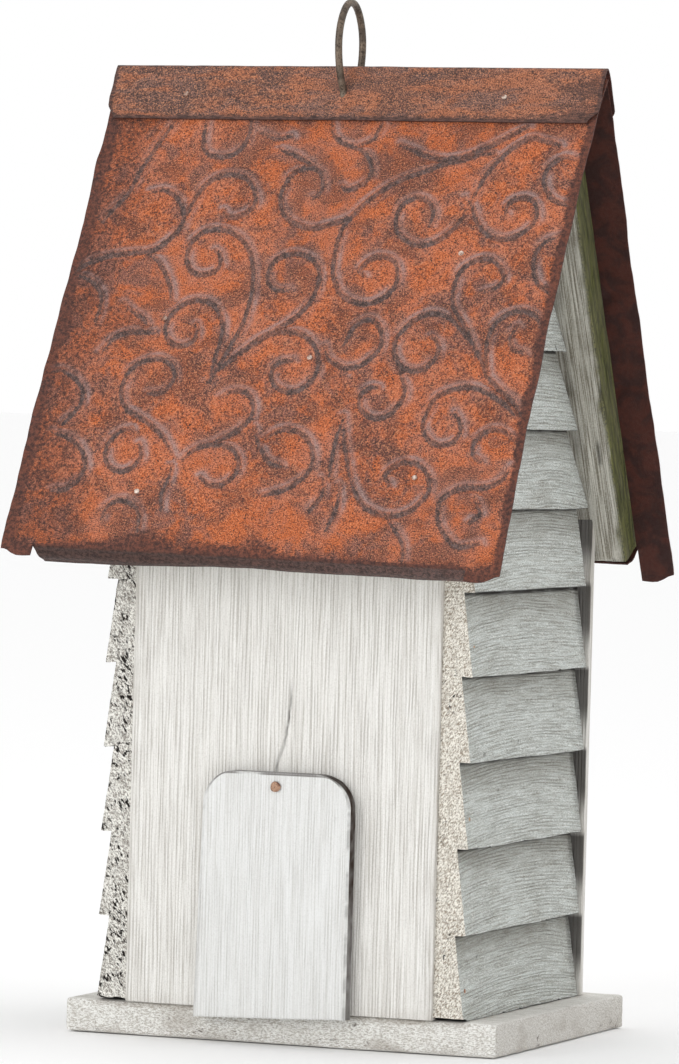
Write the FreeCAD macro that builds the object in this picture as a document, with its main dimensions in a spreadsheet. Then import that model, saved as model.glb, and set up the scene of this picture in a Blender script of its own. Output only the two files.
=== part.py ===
import FreeCAD, Part
import math
import os
import re
import Sketcher

# Lap-sided birdhouse with a sheet-metal roof, millimetres.
# X runs along the ridge, -Y is the side with the swinging door, +Z is up.
# The origin is the middle of the overall footprint, on the ground plane.

SIZES = {
    # board stock
    "board_thickness": 11,
    "thin_board_thickness": 6.4,
    # base board
    "base_length": 150,
    "base_front": 48,
    "base_back": 77,
    "base_rounding": 1.2,
    # front panel and its clean-out opening
    "panel_half": 53.4,
    "panel_front": 50,
    "opening_half": 18,
    "opening_bottom": 20,
    "opening_spring": 56,
    # back panel and its entrance hole
    "back_half": 64.5,
    "back_face": 65,
    "entrance_radius": 16,
    "entrance_height": 112,
    # side walls and gables with laps milled in their outer faces
    "wall_front": 48.6,
    "wall_butt": 10.5,
    "wall_thin": 6.8,
    "wall_lap": 27.5,
    "gable_lap": 26,
    # roof boards
    "roof_slope": 63,
    "roof_peak": 317.2,
    "roof_half": 75,
    "front_board": 177.5,
    "back_board": 174.5,
    # roof sheets, folded over the lower ends of the boards, and the ridge cap
    "sheet_thickness": 0.6,
    "sheet_half": 86.4,
    "sheet_start": 1.5,
    "front_sheet": 183,
    "back_sheet": 187,
    "sheet_flap": 9,
    "cap_flange": 20.5,
    "cap_bend": 1,
    # hanger wire
    "wire_radius": 1.2,
    "wire_hole": 1.3,
    "wire_x": -2.5,
    "wire_leg": 5.4,
    "wire_bulge": 10.8,
    "wire_lean": 36,
    "wire_entry": 308.9,
    "wire_bend": 4,
    "wire_side": 16,
    "wire_top": 8.3,
    "wire_end": 277,
    "wire_hook": 2.4,
    "wire_tip": 1.9,
    # door and the nail it hangs from
    "door_half": 26.2,
    "door_bottom": 8.9,
    "door_top": 88.4,
    "door_corner": 11,
    "door_thickness": 5,
    "door_gap": 0.4,
    "door_pivot": 83.8,
    "door_hole": 0.95,
    "pivot_radius": 0.9,
    # fasteners: radii of shank and head, head thickness, length
    "pivot_head": 1.65,
    "roof_nail_shank": 0.6,
    "roof_nail_head": 1.25,
    "roof_nail_length": 10,
    "board_nail_shank": 0.8,
    "board_nail_head": 1.9,
    "board_nail_length": 26,
    "brad_shank": 0.5,
    "brad_head": 0.8,
    "brad_length": 20,
    "head_thickness": 0.6,
    "screw_shank": 1.5,
    "screw_head": 3,
    "screw_length": 28,
    "screw_recess": 0.3,
}

LOWER_LAPS = 5
GABLE_LAPS = 6
FRONT, BACK = -1, 1
LEFT, RIGHT = -1, 1

# Angles and lines that several pieces share, written as formulas of the sizes.
COS = "cos(roof_slope * 1deg)"
SIN = "sin(roof_slope * 1deg)"
TAN = "tan(roof_slope * 1deg)"
RIDGE_Y = f"((front_sheet - back_sheet) * {COS} / 2)"
FLOOR_TOP = "board_thickness"
WALL_TOP = f"(board_thickness + {LOWER_LAPS} * wall_lap)"
UNDER_PEAK = f"(roof_peak - board_thickness / {COS})"
SCREW_X = "(panel_half + wall_butt / 2)"
SCREW_ROWS = (-30, 42)

document = FreeCAD.newDocument("Birdhouse")
sheet = document.addObject("Spreadsheet::Sheet", "Sizes")
for row, (alias, value) in enumerate(SIZES.items(), start=1):
    sheet.set(f"A{row}", str(value))
    sheet.setAlias(f"A{row}", alias)
document.recompute()


def formula(text):
    """A formula of size names as a FreeCAD expression."""
    names = "|".join(sorted(SIZES, key=len, reverse=True))
    return re.sub(rf"\b({names})\b", r"Sizes.\1", str(text))


def number(text):
    """The present value of a formula of size names."""
    return float(sheet.evalExpression(formula(text)))


def bind(obj, **formulas):
    """Tie properties of an object to formulas of the sizes."""
    for name, text in formulas.items():
        obj.setExpression(name.replace("__", "."), formula(text))


def new_body(label):
    body = document.addObject("PartDesign::Body", label)
    body.Label = label
    return body


def new_sketch(body, plane, offset="0"):
    """A sketch on one of the body's own origin planes, moved along its normal."""
    sketch = body.newObject("Sketcher::SketchObject", body.Label + "_sketch")
    planes = [item for item in body.Origin.OriginFeatures if item.Role == plane]
    sketch.AttachmentSupport = [(planes[0], "")]
    sketch.MapMode = "FlatFace"
    bind(sketch, AttachmentOffset__Base__z=offset)
    return sketch


def place_point(sketch, geometry, vertex, point):
    """Hold one vertex of the sketch at a pair of formulas."""
    for kind, text in zip(("DistanceX", "DistanceY"), point):
        constraint = Sketcher.Constraint(kind, -1, 1, geometry, vertex, number(text))
        index = sketch.addConstraint(constraint)
        sketch.setExpression(f"Constraints[{index}]", formula(text))


def draw_outline(sketch, points):
    """A closed outline of straight lines through points given as formulas."""
    corners = [FreeCAD.Vector(number(u), number(v), 0) for u, v in points]
    count = len(corners)
    for index in range(count):
        sketch.addGeometry(Part.LineSegment(corners[index], corners[(index + 1) % count]))
    for index in range(count):
        sketch.addConstraint(Sketcher.Constraint("Coincident", index, 2, (index + 1) % count, 1))
        place_point(sketch, index, 1, points[index])


def draw_circle(sketch, centre, radius):
    middle = FreeCAD.Vector(number(centre[0]), number(centre[1]), 0)
    index = sketch.addGeometry(Part.Circle(middle, FreeCAD.Vector(0, 0, 1), number(radius)))
    place_point(sketch, index, 3, centre)
    size = sketch.addConstraint(Sketcher.Constraint("Radius", index, number(radius)))
    sketch.setExpression(f"Constraints[{size}]", formula(radius))


def pad(body, sketch, length, midplane=False):
    feature = body.newObject("PartDesign::Pad", body.Label + "_pad")
    feature.Profile = sketch
    feature.Midplane = midplane
    bind(feature, Length=length)
    return feature


def pocket(body, sketch, length=None):
    """A cut to both sides of its sketch, in all of this length or through everything."""
    document.recompute()
    before = body.Shape.Volume
    feature = body.newObject("PartDesign::Pocket", body.Label + "_pocket")
    feature.Profile = sketch
    feature.Midplane = True
    if length is None:
        feature.Type = "ThroughAll"
    else:
        bind(feature, Length=length)
    document.recompute()
    if body.Shape.Volume >= before:
        raise RuntimeError(body.Label + ": the pocket cut nothing")


def round_edges(body, base, radius, chosen):
    """Fillet the edges of the last feature that pass a test."""
    document.recompute()
    edges = base.Shape.Edges
    names = [f"Edge{number_}" for number_, edge in enumerate(edges, start=1) if chosen(edge)]
    feature = body.newObject("PartDesign::Fillet", body.Label + "_fillet")
    feature.Base = (base, names)
    bind(feature, Radius=radius)
    return feature


def roof_point(side, along, depth):
    """(Y, Z) of a point down one slope from the peak, under the boards' outer face."""
    y = f"{RIDGE_Y} + {side} * (({along}) * {COS} - ({depth}) * {SIN})"
    z = f"roof_peak - ({along}) * {SIN} - ({depth}) * {COS}"
    return y, z


def under_roof(side, y):
    """Height of the roof boards' underside at a given Y."""
    return f"{UNDER_PEAK} - {side} * ({y} - {RIDGE_Y}) * {TAN}"


def make_base_board():
    body = new_body("base_board")
    sketch = new_sketch(body, "XY_Plane")
    draw_outline(sketch, [
        ("-base_length / 2", "-base_front"),
        ("base_length / 2", "-base_front"),
        ("base_length / 2", "base_back"),
        ("-base_length / 2", "base_back"),
    ])
    slab = pad(body, sketch, "board_thickness")
    round_edges(body, slab, "base_rounding", lambda edge: True)
    for side in (LEFT, RIGHT):
        for depth in SCREW_ROWS:
            sink = new_sketch(body, "XY_Plane")
            draw_circle(sink, (f"{side} * {SCREW_X}", str(depth)), "screw_head + 0.1")
            pocket(body, sink, "2 * (screw_head - screw_shank + screw_recess)")


def make_front_panel():
    """Between the walls, bevelled on top to the roof, with an arched clean-out opening."""
    body = new_body("front_panel")
    sketch = new_sketch(body, "YZ_Plane")
    inner = "(board_thickness - panel_front)"
    draw_outline(sketch, [
        ("-panel_front", FLOOR_TOP),
        (inner, FLOOR_TOP),
        (inner, under_roof(FRONT, inner)),
        ("-panel_front", under_roof(FRONT, "-panel_front")),
    ])
    pad(body, sketch, "2 * panel_half", midplane=True)
    opening = new_sketch(body, "XZ_Plane")
    draw_outline(opening, [
        ("-opening_half", "opening_bottom"),
        ("opening_half", "opening_bottom"),
        ("opening_half", "opening_spring"),
        ("-opening_half", "opening_spring"),
    ])
    pocket(body, opening)
    arch = new_sketch(body, "XZ_Plane")
    draw_circle(arch, ("0", "opening_spring"), "opening_half")
    pocket(body, arch)


def make_back_panel():
    """Covers the back ends of the walls; carries the round entrance hole."""
    body = new_body("back_panel")
    sketch = new_sketch(body, "YZ_Plane")
    inner = "(back_face - thin_board_thickness)"
    draw_outline(sketch, [
        (inner, FLOOR_TOP),
        ("back_face", FLOOR_TOP),
        ("back_face", under_roof(BACK, "back_face")),
        (inner, under_roof(BACK, inner)),
    ])
    pad(body, sketch, "2 * back_half", midplane=True)
    entrance = new_sketch(body, "XZ_Plane")
    draw_circle(entrance, ("0", "entrance_height"), "entrance_radius")
    pocket(body, entrance)


def lap_outline(side, foot, rise, count):
    """Saw-tooth outline in X and Z: each lap is thick at its butt and thin on top."""
    inner = f"{side} * panel_half"
    points = [(inner, foot)]
    for lap in range(count):
        points.append((f"{side} * (panel_half + wall_butt)", f"{foot} + {lap} * {rise}"))
        points.append((f"{side} * (panel_half + wall_thin)", f"{foot} + {lap + 1} * {rise}"))
    points.append((inner, f"{foot} + {count} * {rise}"))
    return points


def make_lapped_board(label, side, foot, rise, count):
    """A board from the wall's front end to the inner face of the back panel."""
    body = new_body(label)
    back_end = "(back_face - thin_board_thickness)"
    sketch = new_sketch(body, "XZ_Plane", offset=f"-{back_end}")
    draw_outline(sketch, lap_outline(side, foot, rise, count))
    pad(body, sketch, f"{back_end} + wall_front")
    return body


def cut_to_roof(body):
    """Take away everything above the undersides of the two roof boards."""
    sketch = new_sketch(body, "YZ_Plane")
    front_foot = roof_point(FRONT, "front_board", "board_thickness")
    back_foot = roof_point(BACK, "back_board", "board_thickness")
    above = "roof_peak + board_thickness"
    draw_outline(sketch, [
        front_foot,
        (RIDGE_Y, UNDER_PEAK),
        back_foot,
        (back_foot[0], above),
        (front_foot[0], above),
    ])
    pocket(body, sketch)


def make_walls():
    for name, side in (("left", LEFT), ("right", RIGHT)):
        make_lapped_board(f"{name}_wall", side, FLOOR_TOP, "wall_lap", LOWER_LAPS)
        gable = make_lapped_board(f"{name}_gable", side, WALL_TOP, "gable_lap", GABLE_LAPS)
        cut_to_roof(gable)


def drill_for_wire(body, sides):
    """Upright holes for the legs of the hanger wire."""
    for side in sides:
        sketch = new_sketch(body, "XY_Plane")
        draw_circle(sketch, ("wire_x", f"{RIDGE_Y} + {side} * wire_leg"), "wire_hole")
        pocket(body, sketch)


def make_roof_board(label, side, length):
    """Mitred at the ridge, square at its lower end."""
    body = new_body(label)
    sketch = new_sketch(body, "YZ_Plane")
    draw_outline(sketch, [
        (RIDGE_Y, "roof_peak"),
        roof_point(side, length, "0"),
        roof_point(side, length, "board_thickness"),
        (RIDGE_Y, UNDER_PEAK),
    ])
    pad(body, sketch, "2 * roof_half", midplane=True)
    drill_for_wire(body, [side])


def make_roof_sheet(label, side, board, length):
    """A flat sheet whose ends overhang; between them it is folded over the board's end."""
    body = new_body(label)
    plate = new_sketch(body, "YZ_Plane")
    draw_outline(plate, [
        roof_point(side, "sheet_start", "0"),
        roof_point(side, length, "0"),
        roof_point(side, length, "-sheet_thickness"),
        roof_point(side, "sheet_start", "-sheet_thickness"),
    ])
    pad(body, plate, "2 * sheet_half", midplane=True)
    waste = new_sketch(body, "YZ_Plane")
    draw_outline(waste, [
        roof_point(side, f"{board} + sheet_thickness", "sheet_thickness"),
        roof_point(side, f"{length} + sheet_thickness", "sheet_thickness"),
        roof_point(side, f"{length} + sheet_thickness", "-2 * sheet_thickness"),
        roof_point(side, f"{board} + sheet_thickness", "-2 * sheet_thickness"),
    ])
    pocket(body, waste, "2 * roof_half")
    flap = new_sketch(body, "YZ_Plane")
    draw_outline(flap, [
        roof_point(side, board, "-sheet_thickness"),
        roof_point(side, f"{board} + sheet_thickness", "-sheet_thickness"),
        roof_point(side, f"{board} + sheet_thickness", "sheet_flap"),
        roof_point(side, board, "sheet_flap"),
    ])
    pad(body, flap, "2 * roof_half", midplane=True)
    drill_for_wire(body, [side])


def make_ridge_cap():
    """A strip bent over the ridge, on top of both sheets."""
    body = new_body("ridge_cap")
    sketch = new_sketch(body, "YZ_Plane")
    draw_outline(sketch, [
        roof_point(FRONT, "cap_flange", "-sheet_thickness"),
        (RIDGE_Y, f"roof_peak + sheet_thickness / {COS}"),
        roof_point(BACK, "cap_flange", "-sheet_thickness"),
        roof_point(BACK, "cap_flange", "-2 * sheet_thickness"),
        (RIDGE_Y, f"roof_peak + 2 * sheet_thickness / {COS}"),
        roof_point(FRONT, "cap_flange", "-2 * sheet_thickness"),
    ])
    strip = pad(body, sketch, "2 * sheet_half", midplane=True)
    top = number(f"roof_peak + 2 * sheet_thickness / {COS}")
    round_edges(body, strip, "cap_bend", lambda edge: edge.BoundBox.ZMin > top - 0.01)
    drill_for_wire(body, [FRONT, BACK])


def arc_edge(centre, radius, start, end):
    """An arc in the plane of Y and Z, from one angle to another in degrees."""
    points = []
    for degrees in (start, (start + end) / 2, end):
        turn = FreeCAD.Rotation(FreeCAD.Vector(1, 0, 0), degrees)
        points.append(centre + turn.multVec(FreeCAD.Vector(0, radius, 0)))
    return Part.Arc(*points).toShape()


def half_wire():
    """The edges of the back half of the hanger's centre line, with the ridge at Y = 0.

    From the hooked tip under the roof: up the leg, out through the roof, leaning out to
    the widest place of the loop and round to its top.
    """
    leg, bulge, bend = number("wire_leg"), number("wire_bulge"), number("wire_bend")
    end, hook, tip = number("wire_end"), number("wire_hook"), number("wire_tip")
    entry, lean = number("wire_entry"), number("wire_lean")
    side, top = number("wire_side"), number("wire_top")
    cosine, sine = number("cos(wire_lean * 1deg)"), number("sin(wire_lean * 1deg)")

    def point(y, z):
        return FreeCAD.Vector(0, y, z)

    lean_y = leg + bend * (1 - cosine)
    lean_z = entry + bend * sine
    flare = (bulge - lean_y) / (1 - cosine)
    widest_z = lean_z + flare * sine
    shoulder = math.acos((side - bulge) / (side - top))
    top_z = widest_z + (side - top) * math.sin(shoulder)
    return [
        Part.makeLine(point(tip, end), point(leg - hook, end)),
        arc_edge(point(leg - hook, end + hook), hook, -90, 0),
        Part.makeLine(point(leg, end + hook), point(leg, entry)),
        arc_edge(point(leg + bend, entry), bend, 180, 180 - lean),
        arc_edge(point(bulge - flare, widest_z), flare, -lean, 0),
        arc_edge(point(bulge - side, widest_z), side, 0, math.degrees(shoulder)),
        arc_edge(point(0, top_z), top, math.degrees(shoulder), 90),
    ]


def make_hanger_wire():
    """A loop of round wire whose legs go down through the roof and are hooked inside."""
    back_half = half_wire()
    mirror = (FreeCAD.Vector(0, 0, 0), FreeCAD.Vector(0, 1, 0))
    front_half = [edge.mirror(*mirror) for edge in reversed(back_half)]
    path = Part.Wire(back_half + front_half)
    tip = FreeCAD.Vector(0, number("wire_tip"), number("wire_end"))
    section = Part.makeCircle(number("wire_radius"), tip, FreeCAD.Vector(0, 1, 0))
    wire = document.addObject("Part::Feature", "hanger_wire")
    wire.Label = "hanger_wire"
    wire.Shape = path.makePipeShell([Part.Wire([section])], True, False)
    wire.Placement.Base = FreeCAD.Vector(number("wire_x"), number(RIDGE_Y), 0)
    expected = path.Length * math.pi * number("wire_radius") ** 2
    if abs(wire.Shape.Volume - expected) > 0.01 * expected:
        raise RuntimeError("hanger_wire: the sweep has the wrong volume")


def make_door():
    """A small board with two rounded corners that swings on one nail."""
    body = new_body("door")
    back = "(panel_front + door_gap)"
    sketch = new_sketch(body, "XZ_Plane", offset=back)
    draw_outline(sketch, [
        ("-door_half", "door_bottom"),
        ("door_half", "door_bottom"),
        ("door_half", "door_top"),
        ("-door_half", "door_top"),
    ])
    leaf = pad(body, sketch, "door_thickness")
    top = number("door_top") - 0.01
    thickness = number("door_thickness")
    round_edges(
        body, leaf, "door_corner",
        lambda edge: edge.BoundBox.ZMin > top and abs(edge.Length - thickness) < 0.01,
    )
    hole = new_sketch(body, "XZ_Plane")
    draw_circle(hole, ("0", "door_pivot"), "door_hole")
    pocket(body, hole)


def make_nail(label, shank, head, length, head_thickness="head_thickness"):
    """A nail along its own +Z, with the underside of its head at zero."""
    stem = document.addObject("Part::Cylinder", label + "_stem")
    bind(stem, Radius=shank, Height=length, Placement__Base__z=f"-({length})")
    cap = document.addObject("Part::Cylinder", label + "_cap")
    bind(cap, Radius=head, Height=head_thickness)
    nail = document.addObject("Part::Fuse", label)
    nail.Base = cap
    nail.Tool = stem
    return nail


def make_screw(label):
    """A countersunk screw along its own +Z, with the top of its head at zero."""
    stem = document.addObject("Part::Cylinder", label + "_stem")
    bind(stem, Radius="screw_shank", Height="screw_length", Placement__Base__z="-screw_length")
    cone = document.addObject("Part::Cone", label + "_cone")
    bind(
        cone, Radius1="screw_shank", Radius2="screw_head",
        Height="screw_head - screw_shank",
        Placement__Base__z="screw_shank - screw_head",
    )
    screw = document.addObject("Part::Fuse", label)
    screw.Base = cone
    screw.Tool = stem
    return screw


def stand(item, place, axis, degrees):
    """Put a fastener at a place given as formulas, turned about an axis."""
    turn = FreeCAD.Rotation(FreeCAD.Vector(*axis), degrees)
    item.Placement = FreeCAD.Placement(FreeCAD.Vector(0, 0, 0), turn)
    bind(item, Placement__Base__x=place[0], Placement__Base__y=place[1])
    bind(item, Placement__Base__z=place[2])


def group(label, items):
    compound = document.addObject("Part::Compound", label)
    compound.Label = label
    compound.Links = items


def slope_nails(label, side, lift, spots, kind):
    """Nails square to one slope; each spot is X and the distance down from the peak."""
    items = []
    for index, (x, along) in enumerate(spots):
        nail = make_nail(f"{label}_{side + 1}_{index}", *kind)
        place = (x, *roof_point(side, along, f"-({lift})"))
        stand(nail, place, (1, 0, 0), -side * number("roof_slope"))
        items.append(nail)
    return items


ROOF_NAIL = ("roof_nail_shank", "roof_nail_head", "roof_nail_length")
BOARD_NAIL = ("board_nail_shank", "board_nail_head", "board_nail_length")
BRAD = ("brad_shank", "brad_head", "brad_length", "brad_head / 2")


def make_roof_nails():
    """Small nails through the sheets and the cap, and the nails that hold the boards."""
    cap_lift = "2 * sheet_thickness"
    cap_spots = [(-58, 10.5), (54, 10.5)]
    cap_nails = slope_nails("ridge_cap_nails", FRONT, cap_lift, cap_spots, ROOF_NAIL)
    cap_nails += slope_nails("ridge_cap_nails", BACK, cap_lift, cap_spots, ROOF_NAIL)
    group("ridge_cap_nails", cap_nails)
    sheet_spots = [(-48, 94), (50, 68), (5.5, 107), (-44, 157), (50, 149)]
    back_spots = [(-50, 70), (48, 92), (-4, 108), (46, 156), (-49, 150)]
    for name, side, spots in (("front", FRONT, sheet_spots), ("back", BACK, back_spots)):
        label = f"{name}_sheet_nails"
        group(label, slope_nails(label, side, "sheet_thickness", spots, ROOF_NAIL))
    wall_middle = number("panel_half + wall_thin / 2")
    board_spots = [(x, along) for x in (-wall_middle, wall_middle) for along in (45, 100)]
    sunk = "-head_thickness"
    board_nails = slope_nails("roof_board_nails", FRONT, sunk, board_spots, BOARD_NAIL)
    board_nails += slope_nails("roof_board_nails", BACK, sunk, board_spots, BOARD_NAIL)
    group("roof_board_nails", board_nails)


def make_wall_brads():
    """Brads through the lapped walls into the edges of the front panel."""
    share = 0.35
    depth = f"wall_butt - (wall_butt - wall_thin) * {share} - brad_head / 2"
    items = []
    for side in (LEFT, RIGHT):
        for lap in (0, 2, 4):
            nail = make_nail(f"wall_brad_{side + 1}_{lap}", *BRAD)
            place = (
                f"{side} * (panel_half + {depth})",
                "board_thickness / 2 - panel_front",
                f"board_thickness + ({lap} + {share}) * wall_lap",
            )
            stand(nail, place, (0, 1, 0), side * 90)
            items.append(nail)
    group("wall_brads", items)


def make_back_panel_nails():
    """Nails through the back panel into the end grain of the walls."""
    items = []
    for side in (LEFT, RIGHT):
        for index, height in enumerate((30, 85, 140)):
            nail = make_nail(f"back_panel_nail_{side + 1}_{index}", *BOARD_NAIL)
            place = (
                f"{side} * (panel_half + wall_thin / 2)",
                "back_face - head_thickness / 2",
                str(height),
            )
            stand(nail, place, (1, 0, 0), -90)
            items.append(nail)
    group("back_panel_nails", items)


def make_base_screws():
    """Screws up through the base into the lower ends of the walls."""
    items = []
    for side in (LEFT, RIGHT):
        for index, depth in enumerate(SCREW_ROWS):
            screw = make_screw(f"base_screw_{side + 1}_{index}")
            place = (f"{side} * {SCREW_X}", str(depth), "screw_recess")
            stand(screw, place, (1, 0, 0), 180)
            items.append(screw)
    group("base_screws", items)


def make_door_nail():
    """The one nail that the door hangs and turns on."""
    reach = "board_thickness + door_gap + door_thickness + door_gap"
    nail = make_nail("door_nail", "pivot_radius", "pivot_head", reach, "0.8")
    front = "-(panel_front + 2 * door_gap + door_thickness)"
    stand(nail, ("0", front, "door_pivot"), (1, 0, 0), 90)
    nail.Label = "door_nail"


def check_document():
    """Stop if any object of the document failed to build."""
    document.recompute()
    for item in document.Objects:
        if "Invalid" in item.State or "Error" in item.State:
            raise RuntimeError(f"{item.Label}: {item.State}")


def write_parts():
    os.makedirs("parts", exist_ok=True)
    for label in NODES:
        item = document.getObjectsByLabel(label)[0]
        if item.Shape.isNull() or not item.Shape.isValid():
            raise RuntimeError(label + ": bad shape")
        item.Shape.exportStep(f"parts/{label}.step")
        print(f"{label}: {len(item.Shape.Solids)} solids, {item.Shape.Volume / 1000:.2f} cm3")


NODES = [
    "base_board", "front_panel", "back_panel",
    "left_wall", "right_wall", "left_gable", "right_gable",
    "front_roof_board", "back_roof_board",
    "front_roof_sheet", "back_roof_sheet", "ridge_cap",
    "hanger_wire", "door", "door_nail",
    "ridge_cap_nails", "front_sheet_nails", "back_sheet_nails",
    "roof_board_nails", "wall_brads", "back_panel_nails", "base_screws",
]

make_base_board()
make_front_panel()
make_back_panel()
make_walls()
make_roof_board("front_roof_board", FRONT, "front_board")
make_roof_board("back_roof_board", BACK, "back_board")
make_roof_sheet("front_roof_sheet", FRONT, "front_board", "front_sheet")
make_roof_sheet("back_roof_sheet", BACK, "back_board", "back_sheet")
make_ridge_cap()
make_hanger_wire()
make_door()
make_door_nail()
make_roof_nails()
make_wall_brads()
make_back_panel_nails()
make_base_screws()
check_document()
write_parts()
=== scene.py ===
import math
import bpy
import numpy as np
from mathutils import Matrix, Vector, kdtree


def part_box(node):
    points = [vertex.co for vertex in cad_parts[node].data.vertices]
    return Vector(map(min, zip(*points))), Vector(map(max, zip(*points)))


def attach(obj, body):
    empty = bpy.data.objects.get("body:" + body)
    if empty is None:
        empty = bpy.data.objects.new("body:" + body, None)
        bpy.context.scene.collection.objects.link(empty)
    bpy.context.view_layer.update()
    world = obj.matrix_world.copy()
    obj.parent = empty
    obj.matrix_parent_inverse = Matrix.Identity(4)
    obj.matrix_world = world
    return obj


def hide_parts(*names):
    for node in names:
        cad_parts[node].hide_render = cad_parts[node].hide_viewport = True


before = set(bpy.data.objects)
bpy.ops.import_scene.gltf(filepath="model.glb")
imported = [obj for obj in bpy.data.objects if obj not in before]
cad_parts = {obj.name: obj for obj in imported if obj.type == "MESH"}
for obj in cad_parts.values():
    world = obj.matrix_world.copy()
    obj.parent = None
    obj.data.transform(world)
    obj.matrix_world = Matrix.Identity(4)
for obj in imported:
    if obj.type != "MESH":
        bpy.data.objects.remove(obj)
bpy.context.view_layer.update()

MM = 0.001
FRONT, BACK = -1, 1
LEFT, RIGHT = -1, 1

# ---------------------------------------------------------------- sizes, in millimetres


def node_box(name):
    low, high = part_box(name)
    return np.array(low) / MM, np.array(high) / MM


ROOF = math.radians(63)
COS, SIN, TAN = math.cos(ROOF), math.sin(ROOF), math.tan(ROOF)
PEAK = node_box("front_roof_board")[1][2]
RIDGE_Y = node_box("front_roof_board")[1][1]
BOARD = 11.0
UNDER_PEAK = PEAK - BOARD / COS
LAP, GABLE_LAP = 27.5, 26.0
BUTT, THIN = 10.5, 6.8
SHEET = 0.6
FLOOR_TOP = node_box("base_board")[1][2]
WALL_TOP = node_box("right_wall")[1][2]
PANEL_HALF = node_box("front_panel")[1][0]


# ---------------------------------------------------------------- noise and grids

HASH_STEPS = np.array([73856093, 19349663, 83492791])


def lattice_noise(points, seed):
    """Smooth noise from -1 to 1 with one value per unit cell corner."""
    cell = np.floor(points).astype(np.int64)
    part = points - cell
    fade = part * part * (3 - 2 * part)
    total = np.zeros(len(points))
    for corner in range(8):
        offset = np.array([corner & 1, corner >> 1 & 1, corner >> 2 & 1])
        key = (cell + offset) @ HASH_STEPS + seed * 2654435761
        key = ((key ^ (key >> 15)) * 2246822519) & 0xFFFFFFFF
        key = ((key ^ (key >> 13)) * 3266489917) & 0xFFFFFFFF
        value = (key ^ (key >> 16)) & 0xFFFF
        total += np.prod(np.where(offset == 1, fade, 1 - fade), axis=1) * value
    return total / 32767.5 - 1


def noise(points, size, seed, octaves=2):
    """Layered noise; size is one cell, a number or one per axis, in millimetres."""
    points = points / np.asarray(size, float)
    total, share, whole = 0, 1.0, 0.0
    for octave in range(octaves):
        total = total + share * lattice_noise(points * 2 ** octave + 17.3 * octave, seed + octave)
        whole += share
        share *= 0.5
    return total / whole


def smooth_step(low, high, value):
    part = np.clip((value - low) / (high - low), 0, 1)
    return part * part * (3 - 2 * part)


def spread(low, high, step, edge=1.2):
    """Grid lines a step apart, closer together near both ends."""
    close = np.array([0, 0.12, 0.35, 0.7, 1.0]) * edge
    count = max(2, int(round((high - low - 2 * edge) / step)) + 1)
    middle = np.linspace(low + edge, high - edge, count)[1:-1]
    return np.concatenate([low + close, middle, high - close[::-1]])


def block(us, vs, ws):
    """Grid points on the six sides of a block, and the quads between them."""
    i, j, k = np.meshgrid(range(len(us)), range(len(vs)), range(len(ws)), indexing="ij")
    rim = [(axis == 0) | (axis == len(lines) - 1) for axis, lines in ((i, us), (j, vs), (k, ws))]
    outer = rim[0] | rim[1] | rim[2]
    index = np.full(outer.shape, -1)
    index[outer] = np.arange(outer.sum())
    points = np.column_stack([us[i[outer]], vs[j[outer]], ws[k[outer]]])
    quads = []
    sides = [
        (index[0], True), (index[-1], False),
        (index[:, 0], False), (index[:, -1], True),
        (index[:, :, 0], True), (index[:, :, -1], False),
    ]
    for plane, turned in sides:
        corners = [plane[:-1, :-1], plane[1:, :-1], plane[1:, 1:], plane[:-1, 1:]]
        quad = np.stack(corners, axis=-1).reshape(-1, 4)
        quads.append(quad[:, ::-1] if turned else quad)
    return points, np.concatenate(quads)


def soften(points, low, high, radius):
    """Round the edges and corners of a block; radius may differ from point to point."""
    radius = np.broadcast_to(radius, len(points))[:, None]
    inner = np.clip(points, np.asarray(low) + radius, np.asarray(high) - radius)
    away = points - inner
    length = np.linalg.norm(away, axis=1)[:, None]
    return inner + away * np.where(length > 1e-9, radius / np.maximum(length, 1e-9), 0)


def vertex_normals(points, quads):
    a, b, c, d = (points[quads[:, n]] for n in range(4))
    face = np.cross(c - a, d - b)
    total = np.zeros_like(points)
    for n in range(4):
        for axis in range(3):
            total[:, axis] += np.bincount(quads[:, n], face[:, axis], len(points))
    return total / np.maximum(np.linalg.norm(total, axis=1), 1e-12)[:, None]


def outward(points, quads):
    """The quads with their order turned over where the solid would be inside out."""
    a, b, c, d = (points[quads[:, n]] for n in range(4))
    volume = np.einsum("ij,ij->i", a, np.cross(b, c) + np.cross(c, d)).sum()
    return quads if volume > 0 else quads[:, ::-1]


# ---------------------------------------------------------------- pieces

def new_piece(name, points, faces, material, replaced, body="house",
              values=None, grain=None, sharp=35):
    """A mesh object from points in millimetres, riding on a body in place of CAD nodes."""
    mesh = bpy.data.meshes.new(name)
    mesh.from_pydata((points * MM).tolist(), [], [list(face) for face in faces])
    for key, value in (values or {}).items():
        layer = mesh.attributes.new(key, "FLOAT", "POINT")
        layer.data.foreach_set("value", np.asarray(value, np.float32))
    local = points if grain is None else grain
    layer = mesh.attributes.new("grain", "FLOAT_VECTOR", "POINT")
    layer.data.foreach_set("vector", np.ascontiguousarray(local, np.float32).ravel())
    mesh.polygons.foreach_set("use_smooth", np.ones(len(mesh.polygons), bool))
    mesh.set_sharp_from_angle(angle=math.radians(sharp))
    mesh.materials.append(material)
    obj = bpy.data.objects.new(name, mesh)
    bpy.context.scene.collection.objects.link(obj)
    if replaced:
        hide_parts(*replaced)
    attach(obj, body)
    return obj


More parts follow.
